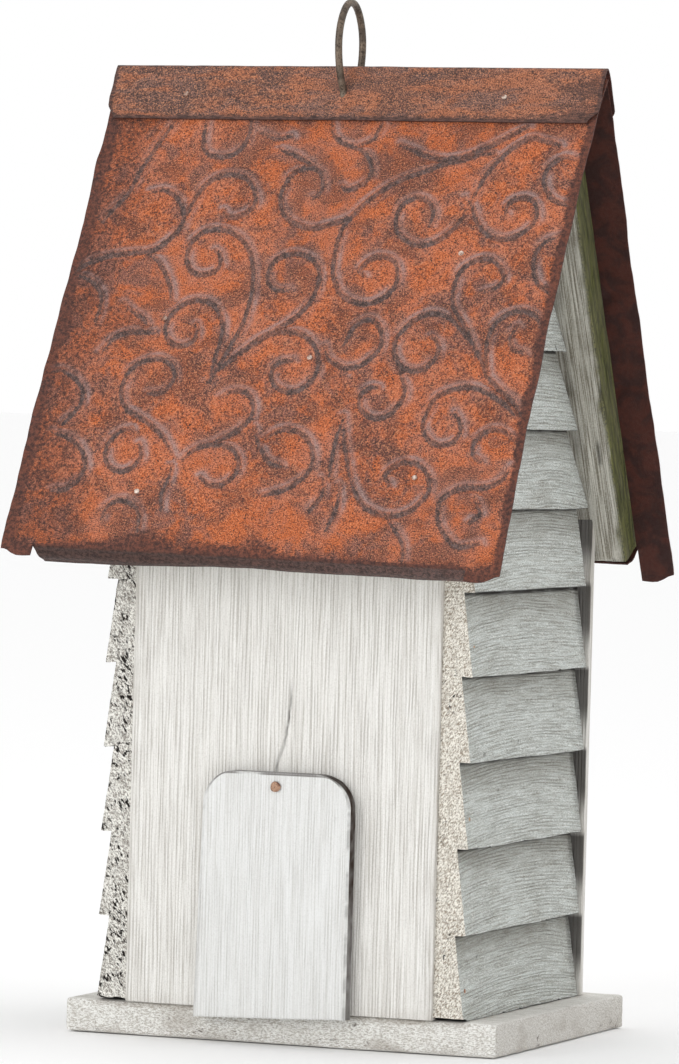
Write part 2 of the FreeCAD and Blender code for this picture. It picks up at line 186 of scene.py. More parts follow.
def cut(obj, points, quads):
    """Take a closed solid, given in millimetres, out of a piece."""
    tool_mesh = bpy.data.meshes.new("cutter")
    tool_mesh.from_pydata((points * MM).tolist(), [], [list(face) for face in quads])
    tool = bpy.data.objects.new("cutter", tool_mesh)
    bpy.context.scene.collection.objects.link(tool)
    modifier = obj.modifiers.new("cut", "BOOLEAN")
    modifier.object = tool
    modifier.solver = "EXACT"
    graph = bpy.context.evaluated_depsgraph_get()
    result = bpy.data.meshes.new_from_object(obj.evaluated_get(graph))
    obj.modifiers.clear()
    result.name = obj.data.name
    obj.data = result
    bpy.data.objects.remove(tool)


def prism(outline, y0, y1):
    """A closed solid from a counter-clockwise outline in X and Z, between two Y planes."""
    count = len(outline)
    points = np.array([(x, y, z) for y in (y0, y1) for x, z in outline])
    faces = [list(range(count)), list(range(2 * count - 1, count - 1, -1))]
    for n in range(count):
        after = (n + 1) % count
        faces.append([n, n + count, after + count, after])
    return points, faces


def ring(x, z, radius, count=64, start=0, end=360):
    turn = np.radians(np.linspace(start, end, count, endpoint=end - start < 360))
    return [(x + radius * math.cos(a), z + radius * math.sin(a)) for a in turn]


def lathe(profile, centre, axis, count=20, wobble=0.0, seed=0):
    """A turned solid from (radius, height) pairs about an axis; its ends are closed."""
    axis = Vector(axis).normalized()
    turn = np.array(Vector((0, 0, 1)).rotation_difference(axis).to_matrix())
    angles = np.arange(count) * 2 * math.pi / count
    rings = []
    for radius, height in profile:
        circle = np.column_stack([np.cos(angles), np.sin(angles), np.full(count, 0.0)])
        size = radius * (1 + wobble * lattice_noise(circle[:, :3] * 1.7 + 31 * seed, seed))
        rings.append(circle * size[:, None] + np.array([0, 0, height]))
    points = np.concatenate(rings) @ turn.T + np.asarray(centre, float)
    faces = []
    for level in range(len(profile) - 1):
        for n in range(count):
            m = (n + 1) % count
            a, b = level * count, (level + 1) * count
            faces.append([a + n, a + m, b + m, b + n])
    faces.append(list(range(count - 1, -1, -1)))
    top = (len(profile) - 1) * count
    faces.append([top + n for n in range(count)])
    return points, faces


def join(parts):
    """Several (points, faces) as one."""
    points, faces, start = [], [], 0
    for some, around in parts:
        points.append(some)
        faces += [[n + start for n in face] for face in around]
        start += len(some)
    return np.concatenate(points), faces


# ---------------------------------------------------------------- materials

def tone(red, green, blue):
    """A display colour, 0 to 255, as the linear colour that shaders use."""
    linear = [((c / 255 + 0.055) / 1.055) ** 2.4 if c > 10 else c / 255 / 12.92
              for c in (red, green, blue)]
    return (*linear, 1.0)


WAVE_PERIOD = 0.314  # length of one band of Blender's wave texture at scale 1


class Look:
    """A material under construction; its methods add nodes and return their outputs."""

    def __init__(self, name, roughness=0.8, specular=0.3, metallic=0.0, from_mesh=True):
        self.material = bpy.data.materials.new(name)
        self.material.use_nodes = True
        self.tree = self.material.node_tree
        self.shader = self.tree.nodes["Principled BSDF"]
        self.shader.inputs["Roughness"].default_value = roughness
        self.shader.inputs["Specular IOR Level"].default_value = specular
        self.shader.inputs["Metallic"].default_value = metallic
        if from_mesh:
            self.place = self.attribute("grain", vector=True)
        else:
            where = self.node("TexCoord").outputs["Object"]
            self.place = self.node("Mapping", Vector=where, Scale=(1 / MM,) * 3).outputs["Vector"]

    def put(self, socket, value):
        if isinstance(value, bpy.types.NodeSocket):
            self.tree.links.new(value, socket)
        else:
            socket.default_value = value

    def node(self, kind, **inputs):
        """A new node with some inputs set, each to a value or to another node's output."""
        made = self.tree.nodes.new("ShaderNode" + kind)
        for name, value in inputs.items():
            self.put(made.inputs[name.replace("_", " ")], value)
        return made

    def attribute(self, name, vector=False):
        made = self.node("Attribute")
        made.attribute_name = name
        return made.outputs["Vector" if vector else "Fac"]

    def noise(self, size, detail=3.0, rough=0.55, twist=0.0, shift=0.0, slant=0.0):
        """Noise from 0 to 1; size is one patch in mm, a number or (along, across, deep)."""
        size = size if isinstance(size, tuple) else (size, size, size)
        away = tuple(-s * n * shift for s, n in zip(size, (1, 0.7, 1.3)))
        mapped = self.node("Mapping", Vector=self.place, Scale=size, Rotation=(slant, 0, 0),
                           Location=away)
        mapped.vector_type = "TEXTURE"
        made = self.node("TexNoise", Vector=mapped.outputs["Vector"], Scale=1.0, Detail=detail,
                         Roughness=rough, Distortion=twist)
        return made.outputs["Fac"]

    def combed(self, spacing, length, wander):
        """Wavering fine lines along the grain from 0 to 1, a spacing apart."""
        across = WAVE_PERIOD / spacing
        mapped = self.node("Mapping", Vector=self.place, Scale=(1 / length, across, across))
        made = self.node("TexWave", Vector=mapped.outputs["Vector"], Scale=1.0, Distortion=wander,
                         Detail=2.0, Detail_Scale=1.0, Detail_Roughness=0.5)
        made.wave_type, made.bands_direction, made.wave_profile = "BANDS", "Y", "SIN"
        return made.outputs["Fac"]

    def band(self, value, low, high, bottom=0.0, top=1.0):
        """The value mapped smoothly from low..high to bottom..top, and held there."""
        made = self.node("MapRange", Value=value, From_Min=low, From_Max=high, To_Min=bottom,
                         To_Max=top)
        made.interpolation_type = "SMOOTHSTEP"
        return made.outputs["Result"]

    def math(self, operation, first, second):
        made = self.node("Math")
        made.operation = operation
        made.use_clamp = operation in ("ADD", "SUBTRACT")
        self.put(made.inputs[0], first)
        self.put(made.inputs[1], second)
        return made.outputs["Value"]

    def times(self, first, second):
        return self.math("MULTIPLY", first, second)

    def plus(self, first, second):
        return self.math("ADD", first, second)

    def mix(self, factor, first, second):
        """One colour laid over another; a colour mix uses its node's sockets 6, 7 and 2."""
        made = self.node("Mix")
        made.data_type = "RGBA"
        self.put(made.inputs["Factor"], factor)
        self.put(made.inputs[6], first)
        self.put(made.inputs[7], second)
        return made.outputs[2]

    def finish(self, colour, roughness, height, depth):
        """Wire up the shader; depth is the bump's height in millimetres."""
        self.put(self.shader.inputs["Base Color"], colour)
        if roughness is not None:
            self.put(self.shader.inputs["Roughness"], roughness)
        bump = self.node("Bump", Strength=1.0, Distance=depth * MM, Height=height)
        self.put(self.shader.inputs["Normal"], bump.outputs["Normal"])
        return self.material


def rust_look(name, bright, brown, dark, bloom_and_sheen, orange=0.5, drawn=1.0):
    """Rusted sheet: orange patches in brown, dark specks, grey hollows and dark edges, with a
    painted highlight beside the raised lines.
    """
    look = Look(name, roughness=0.62, specular=0.3)
    broad = look.noise((24 * drawn, 24 / drawn, 24), 3, 0.55, 0.8)
    patch = look.noise((8 * drawn, 8 / drawn, 8), 4, 0.6, 0.6, 5)
    fine = look.noise((1.3 * drawn, 1.3 / drawn, 1.3), 4, 0.75, 0.0, 9)
    grit = look.noise(0.46, 2, 0.7, 0.0, 3)
    mass = look.plus(look.times(broad, 0.5), look.times(patch, 0.5))
    colour = look.mix(look.band(mass, orange - 0.10, orange + 0.03), brown, bright)
    colour = look.mix(look.band(patch, 0.60, 0.42, 0, 0.15), colour, bloom_and_sheen)
    cloudy = look.noise((15 * drawn, 15 / drawn, 15), 4, 0.65, 0.5, 21)
    colour = look.mix(look.band(cloudy, 0.49, 0.60, 0, 0.72), colour, look.mix(0.4, brown, dark))
    shy = look.band(mass, orange - 0.12, orange + 0.12, 0.05, -0.02)
    speck = look.plus(fine, shy)
    colour = look.mix(look.band(speck, 0.52, 0.64, 0, 0.6), colour, dark)
    dull = look.mix(look.band(broad, 0.4, 0.6), look.mix(0.35, brown, dark), bloom_and_sheen)
    colour = look.mix(look.times(look.attribute("halo"), 0.25), colour, dull)
    colour = look.mix(look.band(grit, 0.51, 0.62, 0, 0.95), colour, dark)
    colour = look.mix(look.band(grit, 0.47, 0.34, 0, 0.6), colour, tone(226, 156, 114))
    # Painted highlight: the bloom tone laid on along the sheen mask beside the raised lines, broken
    # up by noise.
    lit = look.times(look.band(cloudy, 0.38, 0.62, 0.95, 0.35),
                     look.band(grit, 0.40, 0.60, 1.0, 0.35))
    colour = look.mix(look.times(look.attribute("sheen"), lit), colour, bloom_and_sheen)
    border = look.mix(look.band(fine, 0.38, 0.60), look.mix(0.55, brown, dark), dark)
    ragged = look.band(fine, 0.3, 0.7, -0.22, 0.22)
    edged = look.band(look.plus(look.attribute("edge"), ragged), 0.1, 0.85, 0, 0.9)
    colour = look.mix(edged, colour, border)
    hollow = look.mix(look.band(fine, 0.35, 0.6), tone(102, 88, 86), tone(58, 49, 48))
    hollow = look.mix(look.band(grit, 0.46, 0.36, 0, 0.6), hollow, tone(150, 112, 98))
    worn = look.band(patch, 0.36, 0.64, 0.97, 0.72)
    grooved = look.band(look.plus(look.attribute("groove"), ragged), 0.22, 0.80, 0, 0.96)
    colour = look.mix(look.times(grooved, worn), colour, hollow)
    tucked = look.mix(look.band(fine, 0.4, 0.6), tone(78, 52, 44), tone(44, 30, 27))
    colour = look.mix(look.band(look.attribute("edge"), 1.0, 1.7, 0, 0.95), colour, tucked)
    inside = look.mix(look.band(patch, 0.4, 0.62), tone(80, 42, 34), tone(58, 34, 31))
    colour = look.mix(look.attribute("under"), colour, inside)
    height = look.plus(look.times(fine, 0.6), look.times(grit, 0.4))
    rough = look.band(fine, 0.3, 0.7, 0.55, 0.8)
    return look.finish(colour, rough, height, 0.4)


def paint_look(name, paint, shade, bare_and_shade, pits_and_shadow, stain=0.35, streak=(26, 0.55, 0.55),
               rings=(60, 5, 5), contrast=0.6, end_paint=None, end_shade=None, pitted=0.5,
               pit_size=0.9, ring_share=0.5, fibre_length=30, chalky=0.2, depth=0.35,
               comb=(1.2, 50, 4.0, 0.0)):
    """Thin whitewash over wood: grain lines along, speckled end grain, worn edges."""
    look = Look(name, roughness=0.82, specular=0.2)
    lines = look.noise(streak, 1, 0.5, 0.1)
    thin = look.noise((streak[0] * 0.6, streak[1] * 0.6, streak[2] * 0.6), 1, 0.5, 0.0, 4)
    wide = look.noise(rings, 3, 0.6, 0.6, 8)
    cloud = look.noise(24, 3, 0.6, 0.0, 2)
    colour = look.mix(look.band(lines, 0.42, 0.62, 0, 0.6 * contrast), paint, shade)
    colour = look.mix(look.band(wide, 0.5, 0.72, 0, ring_share), colour, shade)
    colour = look.mix(look.band(thin, 0.56, 0.68, 0, contrast), colour, bare_and_shade)
    colour = look.mix(look.band(cloud, 0.50, 0.75, 0, stain), colour, bare_and_shade)
    fibre = look.noise((fibre_length, 0.3, 0.3), 1, 0.5, 0.0, 12)
    colour = look.mix(look.band(fibre, 0.48, 0.62, 0, contrast), colour, bare_and_shade)
    *combing, combed = comb
    furrows = look.combed(*combing)
    shown = look.band(look.noise((26, 2.6, 2.6), 2, 0.6, 0.0, 41), 0.36, 0.62, 0.12, 1.0)
    furrowed = look.times(look.band(furrows, 0.55, 0.98, 0, combed), shown)
    colour = look.mix(furrowed, colour, bare_and_shade)
    chalk = look.noise(0.42, 2, 0.75, 0.0, 31)
    colour = look.mix(look.band(chalk, 0.50, 0.66, 0, chalky), colour, bare_and_shade)
    colour = look.mix(look.band(chalk, 0.46, 0.34, 0, chalky), colour, tone(244, 243, 238))
    speck = look.noise((1.0, 0.75 * pit_size, 0.35 * pit_size), 3, 0.7, 0.0, 6, 0.6)
    coarse = look.noise(6, 2, 0.6, 0.3, 7)
    grain_end = look.mix(look.band(speck, 0.42, 0.62), end_paint or paint, end_shade or shade)
    gouge = look.noise((2.0, 1.7 * pit_size, 0.7 * pit_size), 2, 0.6, 0.0, 15, 0.6)
    spots = look.times(look.band(gouge, 0.54, 0.58),
                       look.band(coarse, 0.66 - 0.3 * pitted, 0.74 - 0.3 * pitted))
    grain_end = look.mix(spots, grain_end, pits_and_shadow)
    pores = look.times(look.band(chalk, 0.55, 0.64), 0.25 + 0.6 * pitted)
    grain_end = look.mix(pores, grain_end, pits_and_shadow)
    colour = look.mix(look.attribute("end"), colour, grain_end)
    # This mask mixes in the bare wood tone: dirt, wear and stains, and painted shade under the
    # laps' lips and at the foot of the walls.
    colour = look.mix(look.times(look.attribute("dirt_and_shade"), 0.9), colour, bare_and_shade)
    algae = look.mix(look.band(speck, 0.4, 0.6), tone(112, 110, 62), tone(52, 54, 30))
    colour = look.mix(look.attribute("moss"), colour, algae)
    # This mask lays on the darkest tone: real cracks and scars, and painted shadow in gaps, under
    # lips, along the wall tops and on the door's right-facing sides.
    colour = look.mix(look.attribute("black"), colour, pits_and_shadow)
    height = look.mix(look.attribute("end"), lines, speck)
    height = look.plus(look.times(height, 0.6), look.times(fibre, 0.4))
    height = look.plus(look.times(height, 0.8), look.times(chalk, 0.2))
    raised = look.plus(look.times(height, 0.6), 0.4)
    height = look.math("SUBTRACT", raised, look.times(furrowed, 0.8))
    return look.finish(colour, look.band(lines, 0.3, 0.7, 0.74, 0.9), height, depth)


RUST = rust_look("rusted_sheet", tone(192, 98, 50), tone(132, 74, 56), tone(60, 41, 38),
                 tone(160, 138, 134), 0.485)
CAP_RUST = rust_look("rusted_cap", tone(162, 99, 70), tone(120, 86, 76), tone(58, 44, 42),
                     tone(152, 122, 114), 0.51, 1.7)
PANEL = paint_look("panel_wood", tone(240, 239, 235), tone(214, 211, 204), tone(170, 164, 154),
                   tone(40, 34, 30), 0.04, (90, 0.4, 0.4), (140, 8, 8), 0.32,
                   ring_share=0.05, fibre_length=40, chalky=0.24, depth=0.45,
                   comb=(1.2, 45, 6.0, 0.5))
DOOR = paint_look("door_wood", tone(232, 233, 232), tone(216, 216, 213), tone(182, 179, 172),
                  tone(50, 36, 28), 0.05, (60, 0.4, 0.4), (90, 9, 9), 0.25,
                  ring_share=0.1, fibre_length=30, chalky=0.2,
                  comb=(1.0, 45, 5.0, 0.36))
SIDING_SHADES = (tone(208, 214, 211), tone(176, 178, 173), tone(120, 115, 103), tone(30, 25, 22))
LEFT_SIDING = paint_look("left_siding_wood", *SIDING_SHADES, 0.25, (30, 0.36, 0.36),
                         (40, 3, 3), 0.42, tone(244, 242, 235), tone(150, 144, 136), 0.66, 1.3,
                         ring_share=0.22, chalky=0.8, depth=0.6, fibre_length=12,
                         comb=(1.1, 26, 5.0, 0.4))
RIGHT_SIDING = paint_look("right_siding_wood", *SIDING_SHADES, 0.25, (30, 0.36, 0.36),
                          (40, 3, 3), 0.42, tone(248, 244, 234), tone(156, 144, 128), 0.18, 1.0,
                          ring_share=0.22, chalky=0.8, depth=0.6, fibre_length=12,
                          comb=(1.1, 26, 5.0, 0.4))
BASE = paint_look("base_wood", tone(236, 235, 230), tone(204, 202, 195), tone(144, 133, 121),
                  tone(84, 76, 70), 0.3, (24, 0.8, 0.8), (40, 5, 5), 0.35,
                  tone(244, 244, 240), tone(176, 170, 161), 0.12, 0.9, ring_share=0.3,
                  chalky=0.35, depth=0.6, fibre_length=8)
ROOF_WOOD = paint_look("roof_wood", tone(228, 226, 216), tone(188, 185, 173),
                       tone(112, 104, 88), tone(38, 34, 27), 0.5, (40, 0.6, 0.6),
                       (50, 4, 4), 0.8, fibre_length=22, chalky=0.3)


def moss_look():
    """Mossy end of the roof board."""
    look = Look("mossy_wood", roughness=0.9, specular=0.2)
    speck = look.noise(1.2, 4, 0.7)
    streak = look.noise((14, 1.6, 1.6), 3, 0.6, 0.0, 3)
    colour = look.mix(look.band(streak, 0.35, 0.65), tone(50, 54, 24), tone(96, 98, 50))
    colour = look.mix(look.band(speck, 0.52, 0.66, 0, 0.8), colour, tone(38, 40, 22))
    colour = look.mix(look.times(look.attribute("dirt_and_shade"), 0.9), colour,
                      tone(150, 142, 126))
    return look.finish(colour, None, speck, 0.3)


def metal_look(name, base, dark, light, size=0.5, roughness=0.5, metallic=0.6, from_mesh=False):
    """Old drawn wire or a nail: dark metal with worn patches."""
    look = Look(name, roughness=roughness, specular=0.4, metallic=metallic, from_mesh=from_mesh)
    fine = look.noise(size, 3, 0.6)
    patch = look.noise(size * 8, 2, 0.5, 0.0, 4)
    colour = look.mix(look.band(patch, 0.42, 0.6), base, light)
    colour = look.mix(look.band(fine, 0.5, 0.68, 0, 0.8), colour, dark)
    return look.finish(colour, look.band(fine, 0.3, 0.7, roughness - 0.1, roughness + 0.15),
                       fine, 0.12)


MOSS = moss_look()
WIRE = metal_look("dark_wire", tone(92, 82, 72), tone(52, 44, 40), tone(120, 106, 92), 0.7)
NAIL = metal_look("rusted_nail", tone(150, 96, 66), tone(84, 50, 38), tone(190, 160, 130), 0.5,
                  0.5, 0.3)
BRIGHT = metal_look("bright_nail", tone(170, 160, 148), tone(96, 80, 70), tone(214, 206, 196),
                    0.5, 0.4, 0.7)
BRIGHT_HEAD = metal_look("bright_nail_head", tone(150, 110, 92), tone(78, 50, 42),
                         tone(230, 212, 198), 0.35, 0.42, 0.5, True)
NAIL_HEAD = metal_look("rusted_nail_head", tone(112, 74, 56), tone(56, 38, 32),
                       tone(176, 140, 116), 0.4, 0.5, 0.3, True)


# ---------------------------------------------------------------- boards

def wood_relief(grain, end, seed, fissure=0.10, pit=0.5, ridges=0.05):
    """Height of a painted board's surface: fine lines along the grain, pitting across it.

    grain holds millimetres along, across and through the board; end is 1 on end grain.
    """
    lines = noise(grain, (16, 0.9, 0.9), seed, 2)
    swell = noise(grain, (70, 7, 7), seed + 5, 2)
    along = ridges * lines + 0.12 * swell - fissure * smooth_step(0.45, 0.8, lines)
    speck = noise(grain, (2.0, 1.0, 1.0), seed + 9, 2)
    coarse = noise(grain, 4.0, seed + 12, 2)
    rough = 0.10 * speck - pit * smooth_step(0.15, 0.6, speck) * smooth_step(-0.1, 0.5, coarse)
    return along * (1 - end) + rough * end


def end_share(normals, axis):
    """1 where a surface looks along the grain, 0 elsewhere."""
    return smooth_step(0.55, 0.8, np.abs(normals[:, axis]))


def near(value, place, width):
    """1 at a place, falling to 0 a width away."""
    return 1 - smooth_step(0, width, np.abs(value - place))


def dirt_noise(points, seed):
    return 0.5 + 0.5 * noise(points, (9, 3, 3), seed, 3)


def make_base():
    low, high = node_box("base_board")
    lines = [spread(low[n], high[n], step, 2.2) for n, step in ((0, 1.15), (1, 1.15), (2, 1.0))]
    points, quads = block(*lines)
    worn = 1.3 + 0.9 * noise(points, (14, 14, 14), 21, 2)
    points = soften(points, low, high, np.clip(worn, 0.5, 2.4))
    quads = outward(points, quads)
    normals = vertex_normals(points, quads)
    end = end_share(normals, 0)
    side = smooth_step(0.5, 0.8, np.abs(normals[:, 1]))
    height = wood_relief(points, np.maximum(end, 0.7 * side), 31, 0.12, 0.55, 0.08)
    height += 0.35 * noise(points, (18, 18, 30), 35, 2) * np.maximum(end, side)
    height[points[:, 2] < 0.5] = 0
    points = points + normals * height[:, None]
    points[:, 2] = np.maximum(points[:, 2], 0)
    # Painted shade along the foot of the walls: the top is darker within a few millimetres of where
    # the house stands, broken up by patchy noise.
    footprint = np.maximum(np.abs(points[:, 0]) - 63, np.maximum(-49 - points[:, 1], 0))
    dirt_and_shade = near(footprint, 0, 3.5) * (points[:, 2] > 9) * dirt_noise(points, 3) * 0.8
    stains = smooth_step(0.0, 0.55, noise(points, (12, 12, 6), 37, 3))
    dirt_and_shade = np.maximum(dirt_and_shade, stains * side * 0.45)
    dirt_and_shade = np.maximum(dirt_and_shade, end * (0.26 + 0.25 * stains))
    return new_piece("base_board_worn", points, quads, BASE, ["base_board"],
                     values={"end": 0.85 * np.maximum(end, side), "dirt_and_shade": dirt_and_shade,
                             "black": np.zeros(len(points))})


def roof_under(y, side):
    return UNDER_PEAK - side * (y - RIDGE_Y) * TAN


OPENING = [(-18, 20), (18, 20), *ring(0, 56, 18, 40, 0, 180)]
ENTRANCE = ring(0, 112, 16)
CRACK = [86, 91, 98, 106, 115, 122], [-2.6, -2.2, 0.4, 1.6, 2.4, 2.5]  # heights, and X there
SETBACK = 2.7  # how far the back panel's outer front edge is behind its CAD face
OVERRUN = 2.6  # how much further back the lapped walls run over that edge


def make_panel(name, axis_low, axis_high, bevel_side, material, seed, step, opening, node):
    """An upright board with vertical grain and a bevelled top, with a hole cut in it."""
    low, high = np.array(axis_low, float), np.array(axis_high, float)
    short = high.copy()
    short[2] = min(roof_under(low[1], bevel_side), roof_under(high[1], bevel_side))
    lines = [spread(low[0], high[0], step, 1.0), spread(low[1], high[1], 1.2, 0.8),
             spread(low[2], short[2], 1.7, 1.0)]
    points, quads = block(*lines)
    worn = np.clip(0.5 + 0.3 * noise(points, (6, 6, 22), seed, 2), 0.2, 0.9)
    points = soften(points, low, short, worn)
    quads = outward(points, quads)
    normals = vertex_normals(points, quads)
    end = end_share(normals, 2)
    grain = points[:, [2, 0, 1]]
    height = wood_relief(grain, end, seed + 1, 0.07, 0.4, 0.03)
    points = points + normals * height[:, None]
    foot = short[2] - 30
    top = roof_under(points[:, 1], bevel_side) - 0.05
    rise = np.clip((points[:, 2] - foot) / (short[2] - foot), 0, 1)
    points[:, 2] = np.where(points[:, 2] > foot, foot + rise * (top - foot), points[:, 2])
    edge = np.minimum(points[:, 0] - low[0], high[0] - points[:, 0])
    patchy = dirt_noise(grain, seed + 4)
    # Darker towards the side edges, as worn paint, and along the bottom above the base, as painted
    # shade; both broken up by patchy noise.
    dirt_and_shade = (0.55 * near(edge, 0, 3.0) + 0.4 * near(points[:, 2], low[2], 5)) * patchy
    dirt_and_shade += 0.18 * near(edge, 0, 14) * smooth_step(0.45, 0.75, patchy)
    # On the front panel this mask is a real crack; on the back panel it is painted shadow.
    dark_mark = np.zeros(len(points))
    if bevel_side == FRONT:
        line = np.interp(points[:, 2], *CRACK)
        dark_mark = near(points[:, 0], line, 0.55) * smooth_step(122, 108, points[:, 2])
        dark_mark *= smooth_step(84, 88, points[:, 2]) * (points[:, 1] < low[1] + 1)
        points[:, 1] += 0.5 * dark_mark
    else:
        outer = smooth_step(PANEL_HALF - 0.6, PANEL_HALF + 0.3, np.abs(points[:, 0]))
        joint = (points[:, 1] < low[1] + 0.9) * outer
        share = (points[:, 2] - FLOOR_TOP) % LAP / LAP
        # Painted shadow: dark wedges on the strip along the back panel's front edge, darker higher
        # up each lap, where the thin laps fall away from it.
        dark_mark = joint * smooth_step(0.15, 0.55, share) * (points[:, 2] < WALL_TOP + GABLE_LAP)
        depth = np.clip((points[:, 1] - low[1]) / (high[1] - low[1]), 0, 1)
        points[:, 1] += SETBACK * outer * (1 - depth)
    obj = new_piece(name, points, quads, material, [node], grain=grain,
                    values={"end": end, "dirt_and_shade": dirt_and_shade, "black": 0.8 * dark_mark})
    cut(obj, *opening)
    return obj


def lap_profile(foot, rise, count, reach=1.7):
    """Rows of a lapped board from its foot up: (Z inside, X outside, Z outside, share of lap)."""
    rows = []
    steps = 30
    for lap in range(count):
        bottom = foot + lap * rise
        lip = [(BUTT - 1.5, 1.1, 0.0), (BUTT - 0.35, 0.10, 0.0), (BUTT, 0.35, 0.01),
               (BUTT - 0.05, 0.8, 0.03)] if lap else [(BUTT, 0.0, 0.0), (BUTT, 0.5, 0.02)]
        for x, z, share in lip:
            rows.append((x, bottom + z, share))
        for n in range(1, steps + 1):
            share = n / steps
            share_z = 0.8 + share * (rise - 0.8 + (reach if lap < count - 1 else 0))
            rows.append((BUTT - (BUTT - THIN) * min(1, share_z / rise), bottom + share_z,
                         min(1, 0.03 + share) * (1 if lap < count - 1 else 0.96)))
    rows = np.array(rows)
    inner = np.linspace(foot, foot + rise * count, len(rows))
    return np.column_stack([inner, rows])


def make_lapped(name, side, foot, rise, count, node, seed, to_roof, material):
    """A side board milled as overlapping laps, cut to the roof where it is a gable."""
    low, high = node_box(node)
    rows = lap_profile(foot, rise, count)
    if to_roof:
        rows = rows[rows[:, 0] < high[2] - 2.0]
    across = spread(0, 1, 0.07, 0.05)
    along = spread(low[1], high[1], 0.95, 0.9)
    levels = np.arange(len(rows), dtype=float)
    points, quads = block(across, along, levels)
    u, y = points[:, 0], points[:, 1]
    level = points[:, 2].astype(int)
    inner_z, outer_x, outer_z, share = rows[level].T
    start, stop = low[1], high[1]
    z = inner_z + (outer_z - inner_z) * u
    sway = 0.45 * noise(np.column_stack([y, outer_z, 0 * y]), (22, 9, 9), seed, 2)
    chipped = noise(np.column_stack([y, z, u]), (2.2, 9, 9), seed + 2, 2)
    chips = 0.5 * smooth_step(0.3, 0.8, chipped)
    lip = near(share, 0, 0.05) * u
    z = z + lip * (sway + chips)
    x = outer_x * u - lip * 0.45 * chips
    back_end = smooth_step(0.93, 1.0, (y - low[1]) / (high[1] - low[1]))
    y = y - back_end * (0.05 + 1.3 * share ** 1.6) * smooth_step(0.35, 0.7, u)
    if not to_roof:
        y = y + OVERRUN * back_end * smooth_step(0.1, 0.35, u)
    front_foot = near(y, low[1], 5) * near(z, foot, 1.5) * (0 if to_roof else 1)
    z = z + front_foot * (0.9 + 0.5 * noise(np.column_stack([y, z, x]), 3, seed + 4, 2))
    if to_roof:
        front = np.maximum(start, RIDGE_Y - (UNDER_PEAK - z) / TAN + 0.15)
        back = np.minimum(stop, RIDGE_Y + (UNDER_PEAK - z) / TAN - 0.15)
        v = (y - start) / (stop - start)
        y = front + v * (back - front)
    points = np.column_stack([side * (PANEL_HALF + x), y, z])
    quads = outward(points, quads)
    normals = vertex_normals(points, quads)
    end = end_share(normals, 1)
    arch = 2.4 * ((y - 8) / 55) ** 2 + 0.8 * noise(points, (30, 30, 30), seed + 17, 1)
    grain = np.column_stack([y, z + arch, points[:, 0] * side])
    height = wood_relief(grain, end, seed + 7, 0.16, 0.75, 0.09)
    outside = smooth_step(0.3, 0.6, u)
    height *= np.where(u < 0.02, 0, 1)
    ragged = 0.35 * noise(points, (3, 3, 3), seed + 3, 2) * end
    points = points + normals * (height + ragged)[:, None]
    patchy = dirt_noise(grain, seed + 8)
    # Painted shade: each lap is darker towards its top, under the lip of the lap above, broken up
    # by patchy noise.
    upper = smooth_step(0.45, 1.0, share) * (0.25 + 0.6 * patchy)
    wear = near(share, 0.04, 0.10)
    dirt_and_shade = np.clip(upper * (1 - end) - 0.5 * wear, 0, 1) * outside
    # Painted shadow: a dark line along the top of each lap, where it runs in under the lip of the
    # lap above.
    black = smooth_step(0.935, 0.962, share) * (1 - end) * outside
    black = black * (0.75 + 0.25 * smooth_step(0.35, 0.6, patchy))
    # Painted shadow: a thin dark line at the bottom of each lap's lip.
    below = near(share, 0.0, 0.012) * (1 - end)
    # Painted shadow at the back end of each lap, darker higher up the lap, where it falls away from
    # the back panel.
    corner = smooth_step(0.975, 0.992, (points[:, 1] - low[1]) / (high[1] - low[1]))
    below = below + 0.5 * corner * outside * share * (0 if to_roof else 1)
    # Dark scars are real marks, added to the same mask as these painted shadow lines.
    scar = noise(points, (2.2, 2.2, 2.2), seed + 19, 2)
    below = below + 0.8 * smooth_step(0.74, 0.84, scar) * (1 - end) * outside
    return new_piece(name, points, quads, material, [node], grain=grain,
                     values={"end": end, "dirt_and_shade": dirt_and_shade, "black": np.clip(black + below, 0, 1)})


def slope_point(side, x, along, depth):
    y = RIDGE_Y + side * (along * COS - depth * SIN)
    return np.column_stack([x, y, PEAK - along * SIN - depth * COS])


